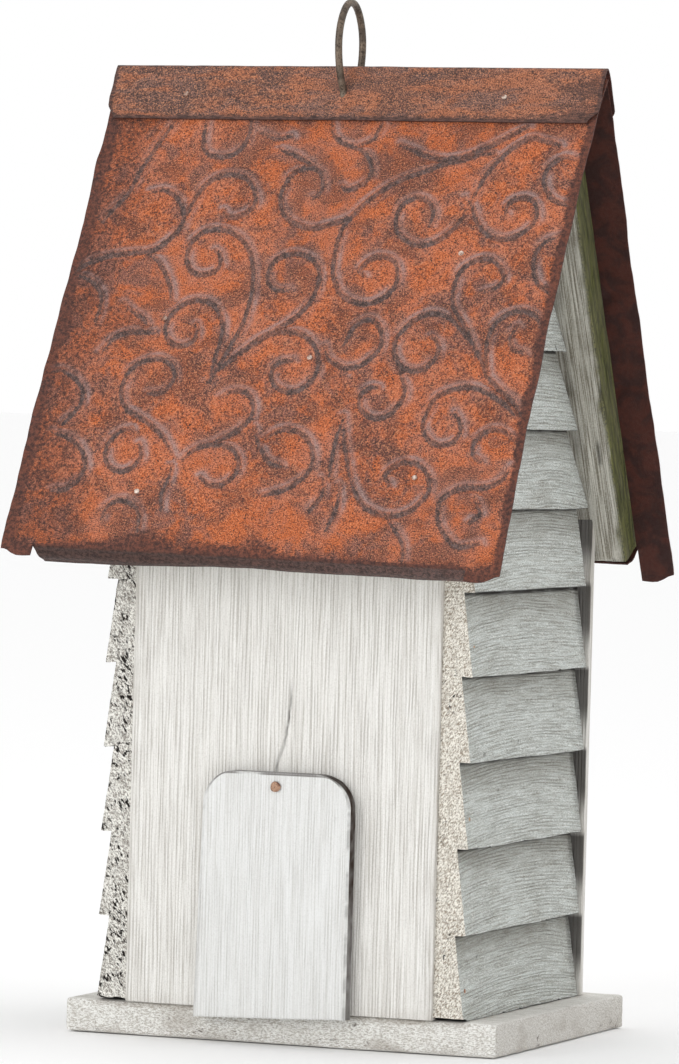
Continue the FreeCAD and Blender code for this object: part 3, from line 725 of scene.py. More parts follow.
def make_roof_board(name, side, length, node, seed):
    half = node_box(node)[1][0]
    low, high = np.array([-half, 0, 0]), np.array([half, length, BOARD])
    lines = [spread(-half, half, 1.3, 1.0), spread(0, length, 1.3, 1.0), spread(0, BOARD, 0.8, 0.8)]
    points, quads = block(*lines)
    worn = np.clip(0.8 + 0.4 * noise(points, (9, 9, 9), seed, 2), 0.3, 1.4)
    flat = soften(points, low, high, worn)
    grain = flat[:, [1, 0, 2]]
    world = slope_point(side, flat[:, 0], flat[:, 1], flat[:, 2])
    quads = outward(world, quads)
    normals = vertex_normals(world, quads)
    tip = smooth_step(length - 1.5, length - 0.4, flat[:, 1])
    edge = smooth_step(half - 1.0, half - 0.3, np.abs(flat[:, 0]))
    height = wood_relief(grain, tip, seed + 3, 0.15, 0.6, 0.08)
    height -= 0.3 * edge * (1 + noise(grain, (8, 3, 3), seed + 5, 2))
    height[flat[:, 2] < 0.4] = -0.05
    start = flat[:, 2] * TAN
    share = flat[:, 1] / length
    along = start + share * (length - start)
    world = slope_point(side, flat[:, 0], along, flat[:, 2]) + normals * height[:, None]
    dirt_and_shade = 0.35 * dirt_noise(grain, seed + 6)
    inward = half - np.abs(flat[:, 0]) - 3.4 * dirt_noise(grain, seed + 8)
    moss = 0.85 * smooth_step(0.6, -0.6, inward)
    # Painted shade: a dark band on the board's underside along the tops of the walls, broken up by
    # patchy noise.
    wall = near(np.abs(flat[:, 0]), PANEL_HALF + 9, 4.5) * (flat[:, 2] > BOARD - 1)
    black = 0.9 * wall * dirt_noise(grain, seed + 9)
    dark_mark = noise(grain, (26, 2.2, 2.2), seed + 11, 2)
    black = np.maximum(black, 0.7 * smooth_step(0.55, 0.75, dark_mark))
    obj = new_piece(name, world, quads, ROOF_WOOD, [node], grain=grain,
                    values={"end": tip, "dirt_and_shade": dirt_and_shade, "black": black, "moss": moss})
    obj.data.materials.append(MOSS)
    at_end = np.abs(np.array([p.center[0] for p in obj.data.polygons])) / MM > half - 0.75
    obj.data.polygons.foreach_set("material_index", at_end.astype(np.int32))
    return obj


# ---------------------------------------------------------------- roof sheets

# Centre lines of the raised scrolls: points (X, distance down the slope) placed one by one.
SCROLLS = [
    [(-50.5, 20), (-50, 27), (-49, 31), (-46, 34), (-42, 34.5), (-38, 33.5), (-35, 30),
     (-34, 25), (-34.5, 20)],
    [(-49.5, 58), (-48, 52), (-45.5, 46), (-41, 42), (-36, 41), (-31, 42.5), (-27.5, 46.5),
     (-26, 51), (-28, 55), (-32, 57), (-35.5, 56.5), (-36.5, 54.5)],
    [(-64, 48.5), (-60, 47.5), (-56, 49), (-52, 52.5), (-50, 57), (-50.5, 62), (-54, 67),
     (-59, 70.5), (-66, 71.5), (-74, 73), (-80, 75.5), (-86, 80)],
    [(-61, 20), (-64, 27), (-67, 34), (-70, 42), (-72, 49), (-76, 55), (-79, 60)],
    [(-61, 71), (-56, 73.5), (-52, 78), (-49, 83), (-47.5, 88)],
    [(-84, 80), (-78, 82), (-73.5, 86), (-72, 91), (-72.5, 97)],
    [(-64, 90), (-60, 93), (-56, 95), (-54, 97)],
    [(-68, 109), (-64, 103), (-58, 100.5), (-50, 100.5)],
    [(-27, 118), (-22.5, 104), (-20, 95), (-19.5, 86), (-20.5, 78), (-23, 71), (-27, 65.5),
     (-32, 62.5), (-37, 61.5), (-42, 63), (-45, 67), (-45.5, 72), (-43, 77), (-39, 78.5),
     (-35, 77.5), (-33, 74.5), (-34, 71), (-36, 69.5)],
    [(-27, 118), (-27, 110), (-26.5, 103), (-27, 97), (-29.5, 92), (-33, 89), (-38, 88),
     (-43, 90), (-46.5, 95), (-46.5, 100), (-44, 103.5), (-40, 105), (-36, 103),
     (-35.5, 99.5), (-36.5, 97)],
    [(-19.5, 108), (-15, 103.5), (-9, 98.5), (-4, 94.5), (0, 90), (2.5, 84), (2.5, 77),
     (0, 72.5), (-4, 70), (-9, 69.5), (-13.5, 72), (-15.5, 76), (-14.5, 80.5), (-11, 83),
     (-7, 83)],
    [(-28, 118), (-25, 113), (-20, 108), (-16, 104), (-12, 100.5), (-7, 98.5), (-1, 98.5),
     (4, 100.5), (8, 105), (9.5, 111), (8, 116), (4, 119.5), (-1, 119.5), (-5, 116.5),
     (-6, 112.5), (-4, 109.5), (0, 108.5)],
    [(13, 50), (9, 55), (3, 58), (-4, 60), (-10, 58.5), (-15, 55), (-17.5, 49.5), (-17, 44),
     (-14.5, 39.5), (-10, 37.5), (-6, 39), (-4, 43), (-4, 46.5), (-6, 48.5)],
    [(-22, 31), (-16, 33), (-10, 36)],
    [(-30, 25), (-24, 27), (-19, 26)],
    [(-6, 20), (-4, 25), (0, 28), (5, 29.5), (9, 32), (11.5, 36), (12, 40), (9.5, 43.5),
     (5, 45.5), (3, 44)],
    [(5, 29), (10, 26), (12, 20)],
    [(53, 30), (48, 31), (43, 33), (37, 34.5), (31, 37.5), (24, 40.5), (18, 44.5), (13, 49.5),
     (9, 55), (6.5, 60), (6, 68), (7, 76), (10, 82), (14, 85.5), (20, 87), (25, 85.5),
     (29, 81), (29.5, 75.5), (27, 71), (22.5, 69.5), (18.5, 71), (16, 75), (17.5, 76.5)],
    [(20, 28), (25, 30), (30, 32), (36, 33), (42, 32), (48, 29.5), (54, 26), (60, 22), (63, 20)],
    [(48, 50), (47, 55), (44, 60), (40, 63.5), (35, 65), (30, 63.5), (26, 60), (24.5, 54.5),
     (26, 50), (30, 47.5), (34.5, 49), (37, 53), (36.5, 57.5)],
    [(47, 47), (50, 50), (52, 54.5), (56, 59), (61, 61.5), (67, 61), (72, 57.5), (74, 53),
     (72.5, 48.5), (69, 46.5), (65, 47), (62.5, 49.5), (62.5, 52)],
    [(49, 48), (51, 42), (53, 37), (56, 32.5), (60, 28), (65, 24.5), (70, 25), (76, 26.5)],
    [(84, 32), (79, 31), (75, 34), (73.5, 38.5), (75, 43), (79, 47), (84, 48.5)],
    [(84, 60), (79, 62), (76.5, 67), (77, 72), (79.5, 77), (84, 80.5)],
    [(61, 81), (65.5, 79), (67, 75), (64, 71), (59.5, 69), (54.5, 70.5), (51, 74), (50, 80),
     (51, 86), (54, 90), (58, 95), (62, 101), (66, 106), (69, 111), (74, 115.5), (80, 120),
     (84, 125)],
    [(69, 111), (67, 104), (66.5, 97), (68, 92), (72, 88.5), (77, 87.5), (82, 89.5), (84, 93)],
    [(76, 93), (74, 97), (76, 101), (80, 102.5)],
    [(62, 101), (60, 99), (55, 94), (50, 90.5), (44, 89.5), (39, 92), (35, 97), (34, 101),
     (35, 105), (38, 109), (43, 110.5), (47, 108.5), (49.5, 104), (48.5, 100), (46, 98)],
    [(37, 109), (39, 113), (41, 117.5), (40.5, 122), (38, 126), (34, 128), (30, 127),
     (27, 124), (26.5, 120), (29, 117), (31.5, 117)],
    [(10, 103), (12, 107), (16, 109.5), (20, 110.5), (25, 108.5), (29, 103), (29, 99),
     (27, 94.5), (23, 92.5), (19, 95), (17.5, 99), (16.5, 102)],
    [(17, 112), (19, 112.6)],
    [(84, 127), (78, 121.5), (71, 117.5), (64, 115.5), (58, 116.5), (52.5, 119.5),
     (50.5, 125), (50, 130), (53, 134.5), (57, 136.5), (61, 135.5), (63.5, 132.5),
     (63, 128.5), (60.5, 125)],
    [(84, 135), (81, 132), (77, 130), (72.5, 131), (69.5, 135), (70, 139.5), (73, 141.5)],
    [(84, 143), (81, 148), (76, 150.5), (69, 151), (64, 153.5), (61.5, 157), (62.5, 163),
     (66, 168), (71, 171.5), (78, 170)],
    [(73, 154), (75, 157), (76, 160), (73, 163)],
    [(22, 127.5), (21.5, 138), (22, 149)],
    [(29, 149), (32, 154.5), (36, 159), (41, 161.5), (47, 162), (52, 160), (55.5, 156),
     (57, 152), (55.5, 147), (52, 144), (47, 143), (43, 145), (41, 148), (43, 151.5)],
    [(22, 128), (25, 138), (29, 149)],
    [(-3, 137), (1, 134), (6, 133.5), (11, 136), (14.5, 141), (15, 147), (12, 151.5),
     (7, 155), (1, 157)],
    [(-8, 133), (-4, 140), (0, 145), (4.5, 146.5)],
    [(-34, 144), (-38, 138.5), (-43, 134.5), (-48, 131.5), (-53, 129), (-56, 125),
     (-57, 120), (-55.5, 114.5), (-51.5, 111), (-46, 110), (-41.5, 112), (-39.5, 116),
     (-41, 120.5), (-44, 122.5), (-47.5, 122.5)],
    [(-50, 135.5), (-54, 137), (-57, 142), (-56.5, 147), (-53, 150.5), (-49, 151),
     (-46, 149), (-44.5, 145), (-46, 141)],
    [(-33, 148), (-33, 153), (-34, 158), (-33, 164)],
    [(-84, 116), (-80, 115.5), (-75, 118), (-71, 122), (-70, 126.5), (-72, 131), (-75, 135)],
    [(-78, 138), (-73, 139.5), (-68, 142), (-64.5, 146), (-63, 150.5), (-64.5, 155),
     (-68, 158.5), (-73, 159)],
    [(-53, 168), (-52.5, 165), (-50, 162), (-46, 161.5), (-42, 163.5), (-40, 167),
     (-39.5, 172)],
    [(-22, 123), (-18, 120.5), (-13, 121), (-10, 124.5), (-9.5, 129), (-11.5, 133),
     (-15, 136), (-20, 139)],
    [(-30, 146), (-27, 142.5), (-23, 140.5), (-17, 140), (-12.5, 142), (-10, 146),
     (-10.5, 150.5), (-14, 154), (-18, 154.5), (-22, 152)],
    [(20, 150), (21, 156), (18, 162)],
    [(26, 152), (27, 160), (25, 168)],
    [(44, 162.5), (49, 167.5), (52, 172), (53, 177)],
]
BEAD_HEIGHT = 0.95
BEAD_WIDTH = 2.1
BEAD_SHIFT = 1.15


def smooth_path(points, step=0.35):
    """Points a step apart on a smooth curve through the given ones."""
    ends = [2 * np.array(points[0]) - points[1], 2 * np.array(points[-1]) - points[-2]]
    p = np.array([ends[0], *points, ends[1]], float)
    made = []
    for n in range(1, len(p) - 2):
        count = max(2, int(np.linalg.norm(p[n + 1] - p[n]) / step))
        t = (np.arange(count) / count)[:, None]
        made.append(0.5 * (2 * p[n] + (p[n + 1] - p[n - 1]) * t
                           + (2 * p[n - 1] - 5 * p[n] + 4 * p[n + 1] - p[n + 2]) * t ** 2
                           + (3 * p[n] - p[n - 1] - 3 * p[n + 1] + p[n + 2]) * t ** 3))
    made.append(p[-2][None])
    return np.concatenate(made)


def scroll_tree():
    """All points along the scrolls, their half widths, and a tree to find the nearest."""
    places, widths = [], []
    for scroll in SCROLLS:
        path = smooth_path(scroll)
        reach = np.concatenate([[0], np.cumsum(np.linalg.norm(np.diff(path, axis=0), axis=1))])
        left = reach[-1] - reach
        width = 0.62 + 0.38 * smooth_step(0, 9, reach)
        width *= 0.8 + 0.2 * smooth_step(0, 5, left)
        places.append(path)
        widths.append(width * BEAD_WIDTH)
    places, widths = np.concatenate(places), np.concatenate(widths)
    tree = kdtree.KDTree(len(places))
    for n, (x, s) in enumerate(places):
        tree.insert((x, s, 0), n)
    tree.balance()
    return places, widths, tree


SCROLL_PLACES, SCROLL_WIDTHS, SCROLL_TREE = scroll_tree()


def relief(x, s):
    """Height of the raised pattern at places on a sheet, and its groove, its sheen (a painted
    highlight) and its halo.
    """
    found = [SCROLL_TREE.find((a, b, 0)) for a, b in zip(x, s)]
    index = np.array([item[1] for item in found])
    distance = np.array([item[2] for item in found])
    width = SCROLL_WIDTHS[index]
    across = x - SCROLL_PLACES[index, 0]
    below = s - SCROLL_PLACES[index, 1]
    bead = np.sqrt((across - 0.3) ** 2 + (below + BEAD_SHIFT) ** 2)
    share = width / BEAD_WIDTH
    height = BEAD_HEIGHT * share * (1 - np.clip(bead / width, 0, 1) ** 2) ** 1.5
    height -= 0.30 * share * np.exp(-(distance / 0.8) ** 2)
    groove = share * np.exp(-(np.maximum(distance - 0.15, 0) / (0.85 * share)) ** 2)
    upper = smooth_step(0.4, -0.9, below - 0.35 * across)
    # The sheen is a painted highlight, a band beside each line, strongest on the up-slope side
    # where light from above falls.
    sheen = np.exp(-((distance - 1.9) / 0.95) ** 2) * (0.08 + 0.92 * upper)
    halo = np.exp(-(distance / 4.6) ** 2) * (0.45 + 0.55 * upper)
    return height, groove, sheen, halo


def graded(start, stop, step, multiple=3):
    """Even grid lines whose count of gaps is a multiple of three."""
    gaps = max(1, round((stop - start) / step / multiple)) * multiple
    return np.linspace(start, stop, gaps + 1)


def fine_and_coarse(columns, rows):
    """Point numbers of a fine grid and a coarse one, three to one, and the quads of both."""
    fine = np.arange(len(columns) * len(rows)).reshape(len(columns), len(rows))
    coarse = np.arange(fine[::3, ::3].size).reshape(fine[::3, ::3].shape) + fine.size

    def quads(plane, turned):
        corners = [plane[:-1, :-1], plane[1:, :-1], plane[1:, 1:], plane[:-1, 1:]]
        made = np.stack(corners, axis=-1).reshape(-1, 4)
        return (made[:, ::-1] if turned else made).tolist()

    return fine, coarse, quads(fine, False) + quads(coarse, True)


def rim(fine, coarse, turned):
    """Faces that close one side between a fine line and a coarse one."""
    made = []
    for n in range(len(coarse) - 1):
        face = [*fine[3 * n:3 * n + 4], coarse[n + 1], coarse[n]]
        made.append([int(v) for v in (face if turned else face[::-1])])
    return made


TURN = math.radians(1.02)
SHEET_START = 1.5
FOLD = 75.0  # half the width that is folded down; a tab is left on each side of it


def sheet_place(side, x, s, lift, length):
    """Place on a slightly turned roof sheet (the front one) as a point in the frame."""
    if side == FRONT:
        middle = length / 2
        x, s = (x * math.cos(TURN) - (s - middle) * math.sin(TURN),
                middle + (s - middle) * math.cos(TURN) + x * math.sin(TURN))
    return slope_point(side, x, s, -lift)


def sheet_form(side, x, s, half, length, seed):
    """Shape of a sheet at places on it: shifts of X and S, height, and its colour masks: groove,
    sheen (a painted highlight), edge and halo.
    """
    mirrored = x if side == FRONT else -x
    height, groove, sheen, halo = relief(mirrored, s)
    place = np.column_stack([x, s, np.full(len(x), 7.0 * seed)])
    border = np.minimum(half - np.abs(x), length - s)
    calm = smooth_step(0.3, 4, border)
    height = height * calm * smooth_step(16, 21, s)
    height = (height + 0.28 * noise(place, (34, 30, 1), seed, 2)
              + 0.07 * noise(place, (5, 5, 1), seed + 3, 2))
    height = height + 0.6 * near(border, 0, 7) * noise(place, (18, 18, 1), seed + 5, 2)
    dx = smooth_step(half - 6, half, np.abs(x)) * 0.7 * noise(place, (9, 13, 1), seed + 7, 3)
    if side == FRONT:
        trim = np.interp(s, [0, 30, 100, 150, 178], [0.0, -1.6, -1.9, -1.2, -0.2])
        dx = dx + smooth_step(40, half, x) * trim + smooth_step(-60, -half, x) * 0.5
    ds = smooth_step(length - 5, length, s) * 0.5 * noise(place, (13, 9, 1), seed + 9, 3)
    wide = np.where(x < 0, 8, 4.5) * (1 + 0.5 * noise(place, (11, 11, 1), seed + 11, 3))
    edge = 1 - smooth_step(0.3 * wide, wide, half - np.abs(x))
    gloom = 38 * (1 + 0.8 * noise(place, (16, 16, 1), seed + 15, 3))
    edge = np.maximum(edge, (x < 0) * 0.55 * (1 - smooth_step(0.15 * gloom, gloom, half + x)))
    low = np.where(x < 10, 13, 9) * (1 + 0.8 * noise(place, (12, 9, 1), seed + 13, 3))
    edge = np.maximum(edge, 1 - smooth_step(0.2 * low, low, length - s))
    return dx, ds, np.maximum(height, -0.1), groove * calm, sheen * calm, edge, halo * calm


def fold_down(x, extra, height, side, layer, seed):
    """Where the folded edge lies: its advance down the slope, its lift and its drop."""
    more = 2.2 * smooth_step(0, 70, side * x)
    drop = 8.0 + 0.7 * noise(np.column_stack([x, 0 * x, 0 * x]), (14, 1, 1), seed + 21, 3) + more
    radius = 0.5 + (SHEET if layer == 0 else 0)
    turn = np.clip(extra / 0.22, 0, 1) * math.pi / 2
    down = np.clip((extra - 0.22) / 0.78, 0, 1) * drop
    bulge = 0.9 * np.sin(np.clip(down / drop, 0, 1) * math.pi) ** 2
    wave = 0.5 * noise(np.column_stack([x, down, 0 * x]), (21, 6, 1), seed + 23, 2)
    swell = (bulge + wave * (down > 0)) * np.clip(down / 3, 0, 1)
    return radius * np.sin(turn), swell, height - 0.5 + radius * np.cos(turn) - down, down


def make_sheet(name, side, board, length, tabs, node, seed):
    """A roof sheet with a raised pattern, folded over the board's end between two tabs."""
    half = node_box(node)[1][0]
    step = 0.64
    panels = [(-half, -FOLD, False), (-FOLD, FOLD, True), (FOLD, half, False)]
    rows = graded(SHEET_START, board, step)
    points, faces, info = [], [], []
    total = 0
    for x0, x1, folded in panels:
        columns = graded(x0, x1, step)
        tail = graded(0, 1, 1 / 18) if folded else graded(0, 1, 1 / 6)
        lines = np.concatenate([rows, rows[-1] + 1 + tail[1:]])
        fine, coarse, made = fine_and_coarse(columns, lines)
        for layer, (cols, lins) in enumerate(((columns, lines), (columns[::3], lines[::3]))):
            x, line = (grid.ravel() for grid in np.meshgrid(cols, lins, indexing="ij"))
            extra = np.clip(line - rows[-1] - 1, 0, 1)
            flat_s = np.minimum(line, rows[-1])
            if not folded:
                flat_s = flat_s + extra * (np.where(x < 0, *tabs) - rows[-1])
            dx, ds, height, groove, sheen, edge, halo = sheet_form(side, x, flat_s, half, length,
                                                                   seed)
            lift = height + (SHEET if layer == 0 else 0)
            s = flat_s + ds
            if folded:
                advance, swell, fold_lift, down = fold_down(x, extra, height, side, layer, seed)
                tucked = extra > 0
                s = np.where(tucked, rows[-1] + advance + swell + ds, s)
                lift = np.where(tucked, fold_lift, lift)
                groove = np.where(tucked, 0.75 * smooth_step(0, 0.3, extra), groove)
                # On the fold the sheen is a painted highlight, a band along the bulge about 3 mm
                # down.
                sheen = np.where(tucked, 0.8 * near(down, 3.2, 1.1), sheen)
                gloomy = 0.42 + 0.25 * x * side / FOLD
                edge = np.where(tucked, 1 + gloomy * smooth_step(0, 0.2, extra), edge)
            else:
                corner = smooth_step(0.45, 1, extra) * smooth_step(FOLD + 4, half, np.abs(x))
                s = s - 2.6 * corner ** 1.5
                lift = lift - 0.5 * extra * smooth_step(FOLD, FOLD + 3, np.abs(x))
            points.append(sheet_place(side, x + dx, s, lift, length))
            info.append(np.column_stack([groove, sheen, edge, x, s, lift, np.full(len(x), layer),
                                         halo]))
        made += rim(fine[:, 0], coarse[:, 0], False) + rim(fine[:, -1], coarse[:, -1], True)
        seam = (len(rows) - 1) // 3
        first = seam if x0 > -half else 0
        last = seam if x1 < half else 0
        made += rim(fine[0, 3 * first:], coarse[0, first:], True)
        made += rim(fine[-1, 3 * last:], coarse[-1, last:], False)
        faces += [[v + total for v in face] for face in made]
        total += fine.size + coarse.size
    points, faces, keep = merged(np.concatenate(points), faces)
    info = np.concatenate(info)[keep]
    if side == FRONT:
        faces = [face[::-1] for face in faces]
    return new_piece(name, points, faces, RUST, [node],
                     grain=info[:, 3:6] + np.array([0, 300.0 * (side == BACK), 0]), sharp=40,
                     values={"groove": info[:, 0], "sheen": info[:, 1], "edge": info[:, 2],
                             "under": info[:, 6], "halo": info[:, 7]})


def merged(points, faces):
    """One point where several coincide; faces keep their order."""
    key = np.round(points * 1e4).astype(np.int64)
    _, keep, where = np.unique(key, axis=0, return_index=True, return_inverse=True)
    where = where.ravel()
    return points[keep], [[int(where[v]) for v in face] for face in faces], keep


CAP_SHIFT = 0.9  # the cap sits this much to the right


def make_cap():
    """The strip bent over the ridge."""
    half = node_box("ridge_cap")[1][0]
    flange = 20.6
    xs = spread(-half, half, 0.9, 0.6)
    qs = np.concatenate([-np.linspace(flange, 2, 26), np.linspace(-1.7, 1.7, 13),
                         np.linspace(2, flange, 26)])
    points, quads = block(xs, qs, np.array([0.0, 1.0]))
    x, q, w = points.T
    place = np.column_stack([x, q, 0 * q + 3])
    corner = smooth_step(flange - 5.5, flange, np.abs(q)) * 3.0
    uneven = 0.3 * near(np.abs(x), half, 2) * noise(place, (9, 4, 1), 71, 2)
    x_new = x * (half - corner) / half + uneven
    height = 0.22 * noise(place, (30, 12, 1), 72, 2) + 0.05 * noise(place, (4, 4, 1), 73, 2)
    loose = 0.4 + noise(place, (26, 9, 1), 74, 2)
    height += 0.35 * smooth_step(flange - 4, flange, np.abs(q)) * loose
    q_new = q * (1 + 0.012 * noise(place, (24, 60, 1), 75, 2))
    lift = SHEET * (1 + w) + 0.1 + np.maximum(height, -0.05)
    soft = np.sqrt(q_new ** 2 + 1)
    lean = SIN * q_new / soft
    y = RIDGE_Y + q_new * COS + lift * lean
    z = PEAK + 0.9 - soft * SIN + lift * np.sqrt(1 - lean ** 2)
    points = np.column_stack([x_new + CAP_SHIFT, y, z])
    wide = 2.5 * (1 + 0.6 * noise(place, (6, 6, 1), 76, 3))
    edge = 1 - smooth_step(0, 1, np.minimum(half - np.abs(x), flange - np.abs(q)) / wide)
    edge = np.maximum(edge, 0.6 * near(q, 0, 1.5))
    gloom = smooth_step(15, 85, x) * smooth_step(-0.2, 0.5, noise(place, (22, 7, 1), 77, 3))
    edge = np.maximum(edge, 0.6 * gloom)
    return new_piece("ridge_cap_rusted", points, outward(points, quads), CAP_RUST, ["ridge_cap"],
                     grain=np.column_stack([x, q, lift]), sharp=40,
                     values={"groove": 0 * x, "sheen": 0 * x, "halo": 0 * x, "edge": edge,
                             "under": 1 - w})


# ---------------------------------------------------------------- door, nails, wire

DOOR_BOTTOM, DOOR_TOP, DOOR_CORNER = 8.9, 88.4, 11.0
PIVOT_Z, PIVOT_HOLE = 83.8, 0.95


def make_door():
    """A thin board with uneven sides and two rounded corners on top."""
    low, high = node_box("door")
    bottom, top, corner = DOOR_BOTTOM, DOOR_TOP, DOOR_CORNER
    thick = high[1] - low[1]
    share = np.concatenate([np.linspace(0, 0.02, 4), np.linspace(0.035, 0.86, 58),
                            1 - 0.14 * (1 - np.sin(np.linspace(0, math.pi / 2, 16)))])
    share = np.unique(np.round(share, 6))
    us = spread(0, 1, 0.016, 0.02)
    ds = np.array([0, 0.06, 0.14, 0.3, 0.5, 0.7, 0.86, 0.94, 1.0])
    points, quads = block(us, ds, share)
    u, d, v = points.T
    depth = d * thick
    radius = 0.55
    inner = np.minimum(depth, thick - depth)
    rounded = radius - np.sqrt(np.maximum(radius ** 2 - (radius - inner) ** 2, 0))
    inset = np.where(inner < radius, rounded, 0)
    z_flat = bottom + v * (top - bottom)
    over = np.clip(z_flat - (top - corner), 0, corner)
    bend = corner - np.sqrt(np.maximum(corner ** 2 - over ** 2, 0))
    left = -25.4 - 1.7 * (1 - v) + bend * 0.95 + inset
    right = 25.9 - bend * 1.1 - inset
    x = left + u * (right - left)
    side_gap = np.minimum(x - left, right - x)
    outline = near(np.minimum(side_gap, (1 - v) * (top - bottom)), 0.2, 0.55)
    tilt = (u - 0.5) * 1.8 * (1 - v) ** 2
    z = z_flat + tilt + inset * (near(v, 0, 0.02) - near(v, 1, 0.02))
    points = np.column_stack([x, low[1] + depth, z])
    quads = outward(points, quads)
    normals = vertex_normals(points, quads)
    grain = points[:, [2, 0, 1]]
    rimmed = 1 - smooth_step(0.3, 0.7, np.abs(normals[:, 1]))
    height = wood_relief(grain, 0 * x, 141, 0.05, 0.2, 0.025)
    height = height - 0.15 * rimmed * (1 + noise(points, 3, 143, 2))
    points = points + normals * height[:, None]
    points[:, 1] = np.clip(points[:, 1], low[1] - 0.02, high[1])
    # Painted shade: the door's side faces are darker where they turn to the right, and darker
    # towards the top, broken up by patchy noise.
    shady = smooth_step(-0.35, 0.5, normals[:, 0]) * 0.75 + 0.35 * smooth_step(0.3, 0.8, v)
    shady = np.clip(shady, 0.3, 1) * (0.75 + 0.5 * dirt_noise(points, 146))
    ahead = np.maximum(smooth_step(20, 30, x) + smooth_step(0.9, 0.96, v), 0.25)
    broken = smooth_step(0.25, 0.6, dirt_noise(points, 147))
    drawn = 0.85 * outline * np.clip(ahead, 0, 1) * broken
    dark_edge = np.clip(np.maximum(rimmed * shady, drawn), 0, 1)
    obj = new_piece("door_board", points, quads, DOOR, ["door"], body="door",
                    grain=grain,
                    values={"end": 0.0 * x, "dirt_and_shade": 0.12 * dirt_noise(grain, 145),
                            "black": dark_edge})
    cut(obj, *prism(ring(0, PIVOT_Z, PIVOT_HOLE, 24), low[1] - 3, high[1] + 3))
    return obj


def nail_head(centre, axis, radius, seed, stem=6.0):
    """A slightly domed, uneven nail head with a length of shank under it."""
    profile = [(0.35 * radius, -stem), (0.42 * radius, -0.02), (0.98 * radius, 0.0),
               (radius, 0.12), (0.97 * radius, 0.3), (0.8 * radius, 0.46),
               (0.5 * radius, 0.56), (0.15 * radius, 0.6)]
    return lathe(profile, centre, axis, 20, 0.10, seed)


# Nails in the roof: (X, distance down the slope).
CAP_SPOTS = [(-58, 10.5), (54, 10.5)]
FRONT_SPOTS = [(-48, 94), (50, 68), (5.5, 107), (-44, 157), (50, 149)]
BACK_SPOTS = [(-50, 70), (48, 92), (-4, 108), (46, 156), (-49, 150)]
HEAD_RADIUS, PIVOT_HEAD_RADIUS = 0.9, 1.75


def slope_heads(side, spots, lift, seed):
    made = []
    for n, (x, s) in enumerate(spots):
        centre = slope_point(side, np.array([x]), np.array([s]), -lift)[0]
        made.append(nail_head(centre, (0.02 * n, side * SIN, COS), HEAD_RADIUS, seed + n))
    return join(made)


def make_nails():
    both = join([slope_heads(side, CAP_SPOTS, 1.75, 200 + 9 * side) for side in (FRONT, BACK)])
    groups = [
        ("ridge_cap", both),
        ("front_sheet", slope_heads(FRONT, FRONT_SPOTS, 0.75, 230)),
        ("back_sheet", slope_heads(BACK, BACK_SPOTS, 0.75, 250)),
    ]
    for name, (points, faces) in groups:
        new_piece(f"{name}_nail_heads", points, faces, BRIGHT_HEAD, [f"{name}_nails"],
                  sharp=50)
    low, high = node_box("door_nail")
    middle = (low + high) / 2
    points, faces = nail_head((middle[0], low[1] + 0.75, middle[2]), (0, -1, 0),
                              PIVOT_HEAD_RADIUS, 270, 16)
    new_piece("door_nail_rusted", points, faces, NAIL_HEAD, ["door_nail"],
              sharp=50)


def paint_cad_nodes():
    """Finish for the CAD nodes that stay as they are."""
    for name, material in (("hanger_wire", WIRE), ("roof_board_nails", NAIL),
                           ("wall_brads", NAIL), ("back_panel_nails", NAIL),
                           ("base_screws", BRIGHT)):
        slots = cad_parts[name].data.materials
        slots.clear()
        slots.append(material)


# ---------------------------------------------------------------- scene

def make_stage():
    mesh = bpy.data.meshes.new("floor")
    size = 40.0
    mesh.from_pydata([(-size, -size, 0), (size, -size, 0), (size, size, 0), (-size, size, 0)],
                     [], [(0, 1, 2, 3)])
    material = bpy.data.materials.new("floor")
    material.use_nodes = True
    shader = material.node_tree.nodes["Principled BSDF"]
    shader.inputs["Base Color"].default_value = (0.97, 0.97, 0.97, 1)
    shader.inputs["Roughness"].default_value = 0.9
    mesh.materials.append(material)
    floor = bpy.data.objects.new("floor", mesh)
    floor.location.z = -0.0003
    bpy.context.scene.collection.objects.link(floor)


def area_light(name, place, target, size, power):
    data = bpy.data.lights.new(name, "AREA")
    data.shape = "SQUARE"
    data.size = size
    data.energy = power
    lamp = bpy.data.objects.new(name, data)
    lamp.location = place
    lamp.rotation_euler = (Vector(target) - Vector(place)).to_track_quat("-Z", "Y").to_euler()
    bpy.context.scene.collection.objects.link(lamp)


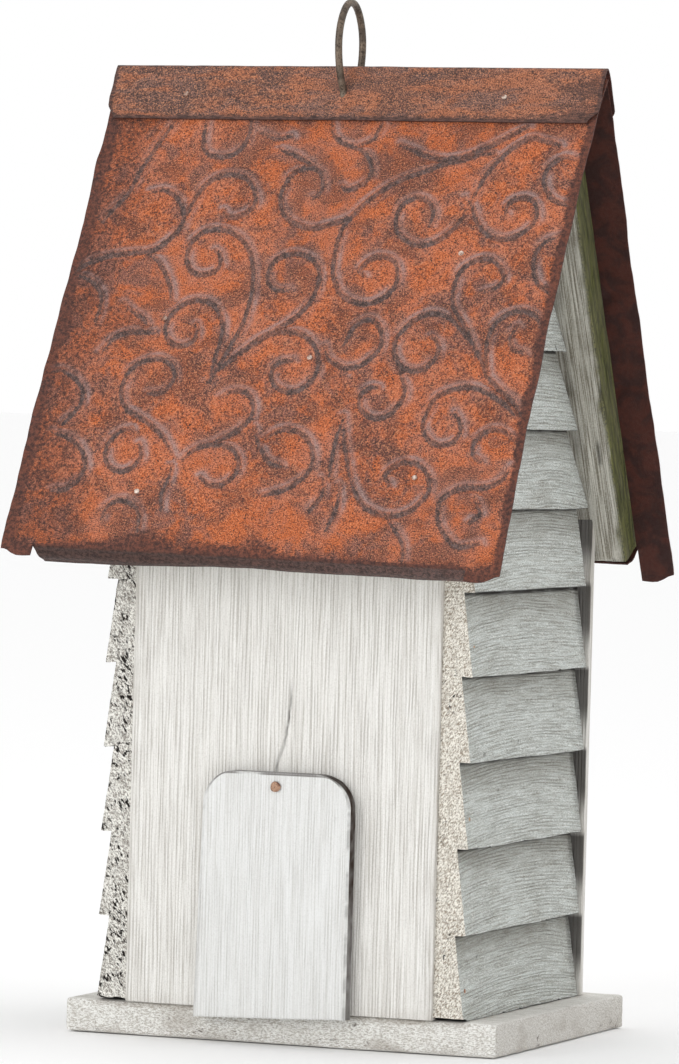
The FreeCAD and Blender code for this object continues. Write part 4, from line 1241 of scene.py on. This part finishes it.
def make_lights():
    area_light("key", (-1.0, -2.6, 0.75), (0, 0, 0.17), 1.6, 30)
    area_light("fill", (2.4, -1.0, 0.5), (0, 0, 0.17), 1.6, 8)
    world = bpy.data.worlds.new("studio")
    bpy.context.scene.world = world
    world.use_nodes = True
    nodes, links = world.node_tree.nodes, world.node_tree.links
    background = nodes["Background"]
    background.inputs["Color"].default_value = (1, 1, 1, 1)
    where = nodes.new("ShaderNodeTexCoord")
    parts = nodes.new("ShaderNodeSeparateXYZ")
    links.new(where.outputs["Generated"], parts.inputs["Vector"])

    def ramp(along, *limits):
        """Light that changes smoothly along one axis of the surround."""
        made = nodes.new("ShaderNodeMapRange")
        made.interpolation_type = "SMOOTHSTEP"
        for socket, value in zip(("From Min", "From Max", "To Min", "To Max"), limits):
            made.inputs[socket].default_value = value
        links.new(parts.outputs[along], made.inputs["Value"])
        return made.outputs["Result"]

    both = nodes.new("ShaderNodeMath")
    links.new(ramp("Y", -0.3, 0.6, 0.46, 0.95), both.inputs[0])
    links.new(ramp("Z", 0.3, 1.0, 0.0, 0.6), both.inputs[1])
    # The camera sees a plain white backdrop; the object is lit by the softer surround.
    ray = nodes.new("ShaderNodeLightPath")
    backdrop = nodes.new("ShaderNodeMix")
    backdrop.inputs["B"].default_value = 1.0
    links.new(ray.outputs["Is Camera Ray"], backdrop.inputs["Factor"])
    links.new(both.outputs["Value"], backdrop.inputs["A"])
    links.new(backdrop.outputs["Result"], background.inputs["Strength"])
    bpy.context.scene.view_settings.view_transform = "Standard"


def make_camera():
    azimuth, elevation, roll = (math.radians(a) for a in (21.412, 1.248, 1.54))
    ahead = Vector((-math.sin(azimuth) * math.cos(elevation),
                    math.cos(azimuth) * math.cos(elevation), -math.sin(elevation)))
    level = ahead.cross(Vector((0, 0, 1))).normalized()
    upright = level.cross(ahead)
    right = level * math.cos(roll) + upright * math.sin(roll)
    up = upright * math.cos(roll) - level * math.sin(roll)
    data = bpy.data.cameras.new("camera")
    data.lens, data.sensor_width = 216.95, 36.0
    camera = bpy.data.objects.new("camera", data)
    turn = Matrix((right, up, -ahead)).transposed()
    camera.matrix_world = Matrix.Translation((0.76964, -1.96832, 0.21126)) @ turn.to_4x4()
    bpy.context.scene.collection.objects.link(camera)
    bpy.context.scene.camera = camera


make_camera()
make_lights()
make_stage()
make_base()
for side, name, outline, seed, step in ((FRONT, "front", OPENING, 51, 0.62),
                                        (BACK, "back", ENTRANCE, 61, 0.95)):
    low, high = node_box(f"{name}_panel")
    make_panel(f"{name}_panel_painted", low, high, side, PANEL, seed, step,
               prism(outline, low[1] - 3, high[1] + 3), f"{name}_panel")
for side, name, paint in ((LEFT, "left", LEFT_SIDING), (RIGHT, "right", RIGHT_SIDING)):
    make_lapped(f"{name}_wall_lapped", side, FLOOR_TOP, LAP, 5, f"{name}_wall", 80 + 9 * side,
                False, paint)
    make_lapped(f"{name}_gable_lapped", side, WALL_TOP, GABLE_LAP, 6, f"{name}_gable",
                100 + 9 * side, True, paint)
make_roof_board("front_roof_board_worn", FRONT, 176.4, "front_roof_board", 121)
make_roof_board("back_roof_board_worn", BACK, 174.5, "back_roof_board", 131)
make_sheet("front_roof_sheet_embossed", FRONT, 177.5 + 0.3, 183, (183 - 0.7, 183 - 0.2),
           "front_roof_sheet", 151)
make_sheet("back_roof_sheet_embossed", BACK, 174.5 - 0.1, 187, (187, 187), "back_roof_sheet",
           161)
make_cap()
make_door()
make_nails()
paint_cad_nodes()
